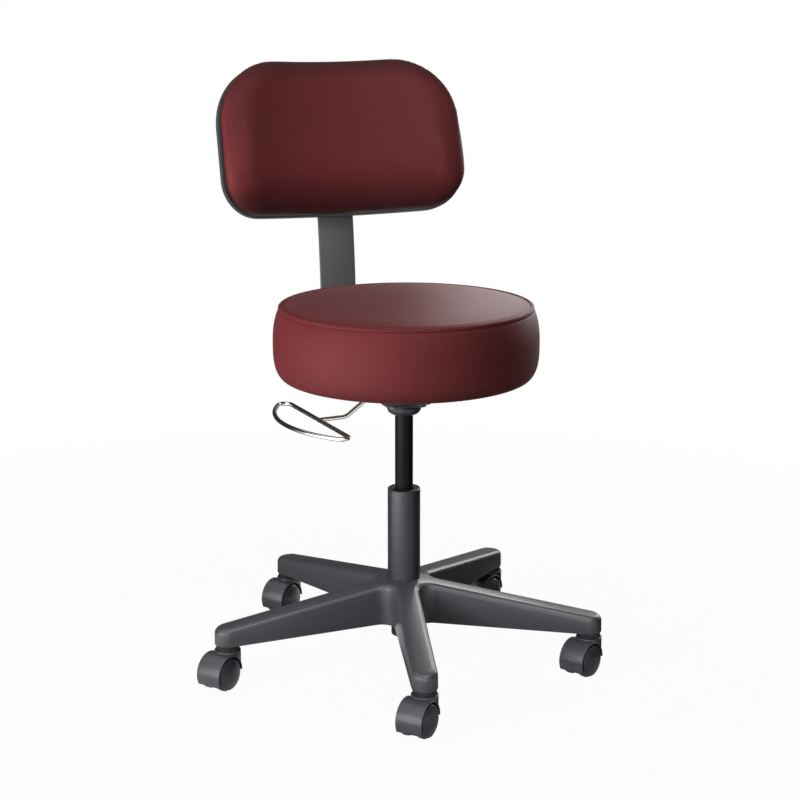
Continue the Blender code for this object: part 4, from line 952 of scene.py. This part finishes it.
# %% Rod clip
clip_low, clip_top = heights("rod_clip")
clip_hole, clip_radius, clip_slit = rod_end + fit, 8.0 * mm, 5.0 * mm
clip = turned("rod_spring_clip", ring([
    (clip_hole, clip_top, 0.2 * mm), (clip_radius, clip_top, 0.5 * mm), (clip_radius, clip_low, 0.5 * mm),
    (clip_hole, clip_low, 0.2 * mm)], 3), column, 48)
carved(clip, block(
    "clip_slot", (2 * clip_radius, clip_slit, 12.0 * mm), column + Vector((clip_radius, 0, clip_low))))
dress(clip, "spindle", "bright_steel", zinc, "rod_clip")

# %% [markdown]
# The upright is a flat bar, bent up behind the seat, swept slowly forward and then back again to
# the angle of the back pad. Its middle line is drawn in the side view from straight lengths and
# bends, swept sideways into a strip with rounded ends, given its thickness, and bevelled.

# %% Upright
bar_width, bar_thick, bar_corner = 61 * mm, 5 * mm, 9 * mm
before_column, behind_column, top_run = 23 * mm, 313 * mm, 150 * mm
low_bend, sweep_bend, top_bend = 47.5 * mm, 1320 * mm, 460 * mm
sweep, lean = radians(8.8), radians(15)


def bend(radius, angle, steps):
    """The chords round a bend, each as its length and its turn."""
    return [(2 * radius * sin(abs(angle) / steps / 2), angle / steps)] * steps


def bar_middle(start, chords):
    """The bar's middle line in the side view."""
    x, y, z = start
    line, heading = [start], 0.0
    for length, turn in chords:
        way = heading + turn / 2
        y, z = y + length * cos(way), z + length * sin(way)
        line.append((x, y, z))
        heading += turn
    return line


bar_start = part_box("back_upright")[0]
bar_line = bar_middle((column.x - bar_width / 2, bar_start.y, bar_start.z + bar_thick / 2), [
    (before_column + behind_column - low_bend, 0), *bend(low_bend, pi / 2, 24),
    *bend(sweep_bend, -sweep, 10), *bend(top_bend, sweep - lean, 10), (top_run, 0)])
bar = extruded(drawn("upright_bar", bar_line), "EDGE", (bar_width, 0, 0))
ends = (Vector(bar_line[0]), Vector(bar_line[-1]))
edit(bar, "VERT", lambda point: any(abs(point.co.y - end.y) + abs(point.co.z - end.z) < 1e-5 for end in ends))
bpy.ops.mesh.bevel(offset=bar_corner, segments=8, affect="VERTICES")
shut()
finished_by(bar, "SOLIDIFY", thickness=bar_thick, offset=0, use_even_offset=True)
closed_up(bar)
finished_by(bar, "BEVEL", limit_method="ANGLE", angle_limit=radians(50), width=0.8 * mm, segments=3)
dress(bar, "seat", "bar_paint", bar_paint, "back_upright", angle=30)

# %% [markdown]
# The bracket is pressed from sheet: a channel with two flanges that are screwed to the seat board.
# Its section is drawn with the press's bend radii, swept across, and its lower corners are cut away
# at a slant by two planes before it gets its thickness.

# %% Bracket
low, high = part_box("seat_bracket")
sheet, flange, channel_width = 2.8 * mm, 25 * mm, 70 * mm
channel = channel_width / 2 - sheet / 2
flange_bend, floor_bend = 3.5 * mm, 4.5 * mm
floor_z, top_z = low.z + sheet / 2, high.z - sheet / 2
section = rounded([
    ((column.y - channel - flange, top_z), 0), ((column.y - channel, top_z), flange_bend),
    ((column.y - channel, floor_z), floor_bend), ((column.y + channel, floor_z), floor_bend),
    ((column.y + channel, top_z), flange_bend), ((column.y + channel + flange, top_z), 0)], 6)
bracket = drawn("bracket_pressing", [(low.x, *point) for point in section])
extruded(bracket, "EDGE", (high.x - low.x, 0, 0))
slant_start, rise, run = 31.0 * mm, 31.0 * mm, 41.2 * mm
for side in (-1, 1):
    sliced(bracket, (column.x + side * slant_start, column.y, low.z + sheet), (side * rise, 0, -run))
closed_up(bracket)
finished_by(bracket, "SOLIDIFY", thickness=sheet, offset=0, use_even_offset=True)
closed_up(bracket)
finished_by(bracket, "BEVEL", limit_method="ANGLE", angle_limit=radians(60), width=0.5 * mm, segments=2)
neck, bottom, top = cup_neck + fit, low.z - past, low.z + past
carved(bracket, turned("neck_hole", [(0, top), (neck, top), (neck, bottom), (0, bottom)], column, 64))
dress(bracket, "seat", "bracket_paint", bracket_paint, "seat_bracket", angle=30)

# %% [markdown]
# Screws and bolts share one pattern: a domed pan head with a cross recess and a plain shank. It is
# turned once for each kind, as long as the solid, and cut with two crossed tapering bars. Each
# fastener is a copy that lies where its solid does.

# %% Fasteners
def fastener(name, shank, head, head_height, length):
    """A pan-headed screw along Z, with its head's top at zero and its shank below."""
    piece = turned(name, [
        *[(head * sin(turn), -0.45 * head_height * (1 - cos(turn))) for turn in (0, 0.5, 0.9, 1.2, 1.45)],
        *profile([(head, -0.5 * head_height, 0), (head, -head_height, 0.2 * mm), (shank, -head_height, 0),
                  (shank, 0.8 * mm - length, 0), (0.6 * shank, -length, 0), (0, -length, 0)], 2)], steps=48)
    for turn in (0, pi / 2):
        bar_cut = block("cross_cut", (1.0 * head, 0.22 * head, 1.2 * head_height))
        edit(bar_cut, "FACE", lambda face: face.normal.z < -0.9)
        bpy.ops.transform.resize(value=(0.4, 0.6, 1))
        shut()
        carved(piece, moved(bar_cut, Matrix.Rotation(turn, 4, "Z")))
    return piece


def laid(piece, name, top, pointing):
    """A copy whose head's top is at a place and whose shank points a given way."""
    turn = Vector(pointing).to_track_quat("-Z", "Y").to_matrix().to_4x4()
    return moved(copied(piece, name), Matrix.Translation(top) @ turn)


def driven_up(pattern, name, node):
    """A copy of a fastener in place of a solid whose head is below."""
    low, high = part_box(node)
    at = ((low.x + high.x) / 2, (low.y + high.y) / 2, low.z)
    dress(laid(pattern, name, at, (0, 0, 1)), "seat", "bright_steel", zinc, node)


head_height = 3.5 * mm
screw_size, bolt_size = (2.3 * mm, 4.5 * mm, head_height), (2.8 * mm, 5.6 * mm, head_height)
screw_low, screw_high = heights("seat_screw_1")
wood_screw = fastener("wood_screw", *screw_size, screw_high - screw_low)
for index in range(1, 5):
    driven_up(wood_screw, f"pan_screw_{index}", f"seat_screw_{index}")
bolt_low, bolt_high = heights("upright_bolt_left")
bolt = fastener("pan_bolt", *bolt_size, bolt_high - bolt_low)
for hand in ("left", "right"):
    driven_up(bolt, "pan_bolt_" + hand, "upright_bolt_" + hand)

# %% [markdown]
# The back pad has a frame of its own, which leans back. The two bolts that hold it lie on that
# frame, one above the other, so the line between their middles is the pad's upright direction.

# %% Back frame
bolt_boxes = {name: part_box("back_bolt_" + name) for name in ("lower", "upper")}
bolt_middles = {name: (low + high) / 2 for name, (low, high) in bolt_boxes.items()}
back_up = (bolt_middles["upper"] - bolt_middles["lower"]).normalized()
back_rear = Vector((0, back_up.z, -back_up.y))
bolt_tip, bolt_head = -30.6 * mm, 9.1 * mm
back_origin = (bolt_middles["upper"] + bolt_middles["lower"]) / 2 - back_rear * (bolt_tip + bolt_head) / 2
back_frame = Matrix((
    (1, 0, 0, back_origin.x), (0, back_rear.y, back_up.y, back_origin.y),
    (0, back_rear.z, back_up.z, back_origin.z), (0, 0, 0, 1)))
back_bolt = fastener("back_pan_bolt", *bolt_size, bolt_head - bolt_tip)
for name, middle in bolt_middles.items():
    top = middle + back_rear * (bolt_head - bolt_tip) / 2
    dress(laid(back_bolt, "back_pan_bolt_" + name, top, -back_rear), "seat", "bright_steel",
          zinc, "back_bolt_" + name)
for used in (wood_screw, bolt, back_bolt):
    bpy.data.objects.remove(used)
print("back frame leans", round(atan2(back_up.y, back_up.z) * 180 / pi, 2), "degrees")

# %% [markdown]
# The lever is a bent rod with a flat ring at its end that follows the seat's edge, so that it can
# be pulled from several places. Both are lines swept with a round section, the ring closed, the arm
# open, and they meet in a weld. A sleeve carries the pivot pin.

# %% Lever
pivot = Vector(joints["lever_pull"]["pos_m"])
rod_radius, past_valve, shoulder, arm_reach, arm_bend = 3.4 * mm, 8 * mm, 11 * mm, 67 * mm, 20 * mm
lever_turn = radians(5)
ring_drop = Vector((0, 0, -38.5 * mm))
outward = Vector((-cos(lever_turn), -sin(lever_turn), 0))
across = Vector((sin(lever_turn), -cos(lever_turn), 0))
axis_from_pivot = column - Vector((pivot.x, pivot.y, 0))
ring_arc, ring_chord, ring_corner = 198.5 * mm, 142 * mm, 11 * mm
corner_out = ring_chord + ring_corner
corner_across = sqrt((ring_arc - ring_corner) ** 2 - corner_out ** 2)
swing = atan2(corner_across, corner_out)
ring_plan = arc((corner_out, corner_across), ring_corner, pi, swing, 14)
ring_plan += arc((0, 0), ring_arc, swing, -swing, 48)[1:-1]
ring_plan += arc((corner_out, -corner_across), ring_corner, -swing, -pi, 14)


def swept(name, points, radius, closed=False):
    """A round bar along a line of points."""
    piece = drawn(name, points + (points[:1] if closed else []))
    closed_up(piece)
    alone(piece)
    bpy.ops.object.convert(target="CURVE")
    piece = bpy.context.object
    piece.data.bevel_depth = radius
    piece.data.bevel_resolution = 8
    piece.data.use_fill_caps = not closed
    bpy.ops.object.convert(target="MESH")
    return closed_up(bpy.context.object)


handle = swept("ring_handle", [
    pivot + axis_from_pivot + outward * u + across * v + ring_drop for u, v in ring_plan], rod_radius, True)
weld = axis_from_pivot + outward * (ring_chord + rod_radius / 2) + ring_drop
away = Vector((weld.x, weld.y, 0)).normalized()
arm_corners = [
    (Vector((axis_from_pivot.x + past_valve, 0, 0)), 0), (away * shoulder, arm_bend),
    (away * arm_reach + ring_drop, arm_bend), (weld, 0)]
arm_line = [pivot + point for point in rounded(arm_corners, 12)]
carved(handle, swept("lever_arm", arm_line, rod_radius), "UNION")
sleeve_bore, sleeve_radius, sleeve_half = 2.5 * mm, 5.5 * mm, 15 * mm
sleeve = turned("sleeve", ring([
    (sleeve_bore, sleeve_half, 0.2 * mm), (sleeve_radius, sleeve_half, 0.6 * mm),
    (sleeve_radius, -sleeve_half, 0.6 * mm), (sleeve_bore, -sleeve_half, 0.2 * mm)], 3), steps=48)
lying = Matrix.Rotation(pi / 2, 4, "X")
carved(handle, moved(sleeve, Matrix.Translation(pivot) @ lying), "UNION")
dress(handle, "lever", "chrome", chrome, "release_lever", angle=40)
pin_low, pin_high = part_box("lever_pivot_pin")
pin_radius, pin_head, pin_head_thick = 2.2 * mm, 4 * mm, 2 * mm
pin_end = pin_low.y - pin_high.y
pin = turned("pivot_pin", profile([
    (0, 0, 0), (pin_head, 0, 0.8 * mm), (pin_head, -pin_head_thick, 0.3 * mm),
    (pin_radius, -pin_head_thick, 0), (pin_radius, pin_end, 0.5 * mm), (0, pin_end, 0)], 3), steps=32)
dress(moved(pin, Matrix.Translation((pivot.x, pin_low.y, pivot.z)) @ lying), "seat", "bright_steel",
      zinc, "lever_pivot_pin")

# %% [markdown]
# Foam under a tight cover swells wherever no seam holds it. A cloth simulation with a little air
# pressure gives that form: the held points stay, the rest moves out, and no point may move further
# than a cap, so that the cushion stays in the space of its solid. The result is applied to the mesh.

# %% Filling a cushion
def evened(piece, shifts, free, rounds):
    """Spreads each point's shift over its neighbours, because foam doesn't fold as cloth does."""
    ends = np.array([edge.vertices[:] for edge in piece.data.edges])
    for _ in range(rounds):
        total, count = np.zeros_like(shifts), np.zeros((len(shifts), 1))
        for near, far in ((0, 1), (1, 0)):
            np.add.at(total, ends[:, near], shifts[ends[:, far]])
            np.add.at(count, ends[:, near], 1)
        shifts = free * total / count
    return shifts


def filled(piece, held, pressure, cap, even):
    """Swells a closed cover between its held points."""
    alone(piece)
    fixed = piece.vertex_groups.new(name="held")
    fixed.add([point.index for point in piece.data.vertices if held(point.co)], 1.0, "ADD")
    start = [point.co.copy() for point in piece.data.vertices]
    cloth = piece.modifiers.new("cloth", "CLOTH")
    cloth.settings.quality = 6
    cloth.settings.mass = 0.3
    cloth.settings.tension_stiffness = 6
    cloth.settings.compression_stiffness = 6
    cloth.settings.shear_stiffness = 4
    cloth.settings.bending_stiffness = 8
    cloth.settings.use_pressure = True
    cloth.settings.uniform_pressure_force = pressure
    cloth.settings.effector_weights.gravity = 0
    cloth.settings.vertex_group_mass = "held"
    cloth.collision_settings.use_collision = False
    cloth.point_cache.frame_start = 1
    cloth.point_cache.frame_end = 20
    for step in range(1, 21):
        bpy.context.scene.frame_set(step)
    bpy.ops.object.modifier_apply(modifier="cloth")
    bpy.context.scene.frame_set(1)
    shifts = np.array([point.co - before for point, before in zip(piece.data.vertices, start)])
    free = np.array([[not held(before)] for before in start])
    shifts = evened(piece, shifts, free, even)
    lengths = np.linalg.norm(shifts, axis=1, keepdims=True)
    shifts *= np.minimum(1, cap / np.maximum(lengths, 1e-9))
    for point, before, shift in zip(piece.data.vertices, start, shifts):
        point.co = before + Vector(shift)
    piece.vertex_groups.clear()
    print(piece.name, "swelled by", round(lengths.max() / mm, 1), "mm, capped at", round(cap / mm, 1))
    return piece


print("cushion filling ready")

# %% [markdown]
# The seat cushion is a flat drum with a soft crown. Its top panel rolls over the edge in a narrow
# bead, the seam lies under the bead, and the side panel bulges below it and turns in under the
# board, where it is stapled. It is turned from a line with a real groove at the seam, then filled.

# %% Seat cushion
seat_low, seat_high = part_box("seat_cover")
seat_axis = (seat_low + seat_high) / 2
seat_radius = (seat_high.x - seat_low.x) / 2
seat_foot = seat_low.z
board_low, board_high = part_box("seat_board")
board_radius = (board_high.x - board_low.x) / 2
seam_height, seam_inner = 112 * mm, 183 * mm
crown, crown_radius, crown_step = 4.0 * mm, 189 * mm, 12 * mm
bead_radius, bead_out, bead_z = 3.5 * mm, 190.4 * mm, seam_height - 3.3 * mm
drawn_in_above, drawn_in_below, foot_drawn_in = 7.6 * mm, 24 * mm, 24.5 * mm
board_hollow, board_gap = 12.4 * mm, 0.4 * mm
slack = 1.0 * mm


def seat_line():
    """Section of the seat cushion, from the crown to its hollow for the board."""
    line = []
    for radius in [crown_step * step for step in range(16)]:
        share = radius / crown_radius
        line.append((radius, seam_height + crown * (1 - share ** 2)))
    line += [(184.4 * mm, seam_height - 0.5 * mm), (186.2 * mm, seam_height - 1.4 * mm)]
    line += [(bead_out + bead_radius * cos(turn), bead_z + bead_radius * sin(turn))
             for turn in [radians(angle) for angle in (146, 122, 98, 72, 45, 20, -5, -28)]]
    line += [(192.8 * mm, seam_height - 5.6 * mm), (192.7 * mm, seam_height - 6.3 * mm),
             (194.0 * mm, seam_height - 7.0 * mm)]
    widest = seat_radius - slack
    for rise in (102, 98, 92, 85, 77, 69, 61, 54, 47, 40, 33, 26, 20, 14, 9, 5, 2):
        upper, lower = max(0, (rise - 58) / 46), max(0, (48 - rise) / 48)
        above, below = upper ** 2.4, 1 - (1 - lower ** 2.5) ** 0.4
        line.append((widest - drawn_in_above * above - drawn_in_below * below, rise * mm))
    hollow_radius = board_radius + board_gap
    line += [(widest - foot_drawn_in, 0), (board_radius + 8 * mm, 0), (hollow_radius, 0),
             (hollow_radius, board_hollow), (0, board_hollow)]
    return [(radius, seat_foot + rise) for radius, rise in line]


def seat_held(place):
    """The seam, the bead and the stapled edge don't move."""
    radius = (place - seat_axis).to_2d().length
    rise = place.z - seat_foot
    at_seam = radius > seam_inner and seam_height - 9 * mm < rise
    return at_seam or (rise < 14 * mm and radius < seat_radius - 20 * mm)


cushion = turned("seat_cushion", seat_line(), seat_axis, 72)
filled(cushion, seat_held, 4.0, 2.5 * mm, 24)
finished_by(cushion, "SUBSURF", levels=2, render_levels=2)
dress(cushion, "seat", "burgundy_vinyl", vinyl, "seat_cover", "seat_foam", angle=60)

# %% [markdown]
# The seat board closes the cushion from below. It is a turned plywood disc with a softened edge,
# just inside the cushion's stapled rim.

# %% Seat board
board_axis = (board_low + board_high) / 2
dress(turned("seat_ply", profile([
    (0, board_high.z, 0), (board_radius, board_high.z, 0.8 * mm), (board_radius, board_low.z, 0.8 * mm),
    (0, board_low.z, 0)], 3), board_axis, 128), "seat", "plywood", plywood, "seat_board")

# %% [markdown]
# The back pad and its rear shell share one outline, with wide upper corners and tighter lower ones.
# Both are drawn flat in the back's own frame, rounded, and then bowed so that the sides come
# forward round the sitter. The flat work keeps the outline easy to draw.

# %% Back outline and bow
back_half, back_tall = 204 * mm, 124.5 * mm
top_corner, low_corner = 106 * mm, 60 * mm
bow_radius = 520 * mm


def back_plan(grow, depth):
    """Outline of the back at one depth, larger all round by a little."""
    half, tall = back_half + grow, back_tall + grow
    top, low = top_corner + grow, low_corner + grow
    plan = arc((half - low, low - tall), low, -pi / 2, 0, 16)
    plan += arc((half - top, tall - top), top, 0, pi / 2, 24)
    plan += arc((top - half, tall - top), top, pi / 2, pi, 24)
    plan += arc((low - half, low - tall), low, pi, 1.5 * pi, 16)
    return [(x, depth, z) for x, z in plan]


def bowed(piece):
    """Brings the sides forward and carries the piece to the back's frame."""
    for point in piece.data.vertices:
        point.co.y -= point.co.x ** 2 / (2 * bow_radius)
    return moved(piece, back_frame)


print("back outline", len(back_plan(0, 0)), "points")

# %% [markdown]
# The pad is a block of foam under a tight cover. It is widest half way through its depth, where it
# stands a little over the shell, and it is drawn in again where the cover goes behind it. Its face
# swells most in the lower half, where it meets the back's hollow, and rolls far under at the foot.
# All of that depends on how far a point lies from the outline, and which way is out from there.

# %% Back pad: outline and rolls
pad_back, pad_deep = -24.6 * mm, 40 * mm
pad_wider, pad_taller, pad_raised, pad_over = 1.004, 1.03, 2.4 * mm, 2.2 * mm
roll_width, swell_low, swell_reach = 44 * mm, 45 * mm, 72 * mm
tuck_size, tuck_deep, tuck_width = 9 * mm, 21 * mm, 30 * mm


def pad_plan():
    """Outline of the pad where it is widest."""
    return [(pad_wider * x, y, pad_taller * z + pad_raised) for x, y, z in back_plan(pad_over, pad_back)]


def from_outline(points):
    """How far each point lies inside the pad's outline, and the way out from it."""
    plan = np.array(pad_plan())[:, [0, 2]]
    sides = np.roll(plan, -1, axis=0) - plan
    lengths = np.linalg.norm(sides, axis=1, keepdims=True)
    reach = points[:, None] - plan
    along = np.clip((reach * sides).sum(axis=2) / lengths[:, 0] ** 2, 0, 1)
    apart = np.linalg.norm(reach - along[..., None] * sides, axis=2)
    out = np.stack([sides[:, 1], -sides[:, 0]], axis=1) / lengths
    return apart.min(axis=1), out[apart.argmin(axis=1)]


def pad_formed(piece):
    """Rolls the pad's edges over, swells its lower half and draws its rear edge in."""
    points = np.array([point.co for point in piece.data.vertices])
    apart, out = from_outline(points[:, [0, 2]])
    upper, lower = np.maximum(0, out[:, 1]), np.maximum(0, -out[:, 1])
    edge = 0.40 - 0.26 * lower
    curve = 1.45 + 0.3 * upper + 0.45 * lower
    share = np.minimum(1, apart / (roll_width - 8 * mm * upper + 16 * mm * lower))
    roll = edge + (1 - edge) * (1 - (1 - share) ** curve) ** (1 / curve)
    swell = 0.80 + 0.40 * np.exp(-((points[:, 2] + swell_low) / swell_reach) ** 2)
    depth = (pad_back - points[:, 1]) * roll * swell
    tuck = tuck_size * (1 - np.clip(depth / tuck_deep, 0, 1)) ** 1.2
    tuck = tuck * np.maximum(0, 1 - apart / tuck_width) * (1 - 0.5 * lower)
    points[:, [0, 2]] -= out * tuck[:, None]
    points[:, 1] = pad_back - depth
    for point, place in zip(piece.data.vertices, points):
        point.co = place


def paint_rim_shade(piece):
    """Marks how close each point is to the pad's top and bottom rims, for the painted shade there."""
    points = np.array([point.co for point in piece.data.vertices])
    apart, out = from_outline(points[:, [0, 2]])
    upper, lower = np.maximum(0, out[:, 1]), np.maximum(0, -out[:, 1])
    near = np.clip(1 - apart / (8 * mm + 34 * mm * upper + 60 * mm * lower), 0, 1)
    rim_shade = piece.data.attributes.new("rim_shade", "FLOAT", "POINT")
    rim_shade.data.foreach_set("value", (0.92 * near * np.maximum(upper, lower)).astype("f"))


print("pad outline", len(pad_plan()), "points")

# %% [markdown]
# The block is extruded from the outline, its rims are bevelled, and it is remeshed into even small
# squares before it is formed. The rear is then held by the board while pressure fills the front.
# Smoothing takes out the remesher's steps before one subdivision.

# %% Back pad
def rim_rolled(piece, depth, size, steps):
    """Bevels the edges that lie at one depth."""
    points = piece.data.vertices
    rolled(piece, lambda edge: all(abs(points[i].co.y - depth) < 1e-6 for i in edge.vertices), size, steps)


pad_mesh = 4.2 * mm
pad = closed_up(extruded(drawn("back_pad", pad_plan(), filled=True), "FACE", (0, -pad_deep, 0)))
rim_rolled(pad, pad_back - pad_deep, 12 * mm, 6)
rim_rolled(pad, pad_back, 1.5 * mm, 2)
finished_by(pad, "REMESH", mode="VOXEL", voxel_size=pad_mesh)
pad_formed(pad)
finished_by(pad, "REMESH", mode="VOXEL", voxel_size=pad_mesh)
filled(pad, lambda place: place.y > pad_back - 5 * mm, 3.0, 2.5 * mm, 60)
finished_by(pad, "SMOOTH", factor=0.5, iterations=10)
finished_by(pad, "SUBSURF", levels=1, render_levels=1)
# Painted shade: darkens the cover's colour along the pad's top and bottom rims.
paint_rim_shade(pad)
bowed(pad)
dress(pad, "seat", "burgundy_vinyl", vinyl, "back_cover", "back_foam", angle=60)

# %% [markdown]
# The shell behind the pad is a thin tray with a rolled rear edge and a narrow lip in front, which
# the pad sits on. The lip is inset and the rest of the front taken off before the tray is cut into
# strips, bowed and given its wall.

# %% Back shell
shell_back, shell_front, shell_over = -0.3 * mm, -24.3 * mm, 1.5 * mm
shell_roll, shell_lip, shell_wall, strips = 12 * mm, 16 * mm, 2.5 * mm, 40
shell = drawn("back_tray", back_plan(shell_over, shell_front), filled=True)
closed_up(extruded(shell, "FACE", (0, shell_back - shell_front, 0)))
rim_rolled(shell, shell_back, shell_roll, 8)
edit(shell, "FACE", lambda face: abs(face.center.y - shell_front) < 1e-6)
bpy.ops.mesh.inset(thickness=shell_lip)
bpy.ops.mesh.delete(type="FACE")
shut()
for strip in range(1, strips):
    edit(shell)
    bpy.ops.mesh.bisect(plane_co=((2 * strip / strips - 1) * back_half, 0, 0), plane_no=(1, 0, 0))
    shut()
bowed(shell)
finished_by(shell, "SOLIDIFY", thickness=shell_wall, offset=-1, use_even_offset=True)
finished_by(shell, "BEVEL", limit_method="ANGLE", angle_limit=radians(60), width=0.6 * mm, segments=2)
dress(shell, "seat", "shell_plastic", shell_plastic, "back_shell", angle=30)

# %% [markdown]
# A few solids are right as they are and only show from below or when the stool is taken apart: the
# bearing, the stop, the inner guides and the back board. They keep their shape and get a finish.

# %% Solids that stay
for node, finish in {
        "back_board": plywood, "bump_stop": rubber, "piston_head": bush_plastic,
        "rod_guide": bush_plastic, "thrust_bearing": zinc}.items():
    mesh = frame["nodes"][node].data
    mesh.materials.clear()
    mesh.materials.append(finish)
    print(node, "takes", finish.name)

# %% [markdown]
# The last cell compares the dressed stool with the solids: it prints the size of both boxes.

# %% Size
dressed_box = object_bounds()
boxes = {"cad": [list(corner) for corner in cad_box], "visual": [list(corner) for corner in dressed_box]}
for name, (low, high) in boxes.items():
    print(name, [round((b - a) / mm, 1) for a, b in zip(low, high)], "mm")
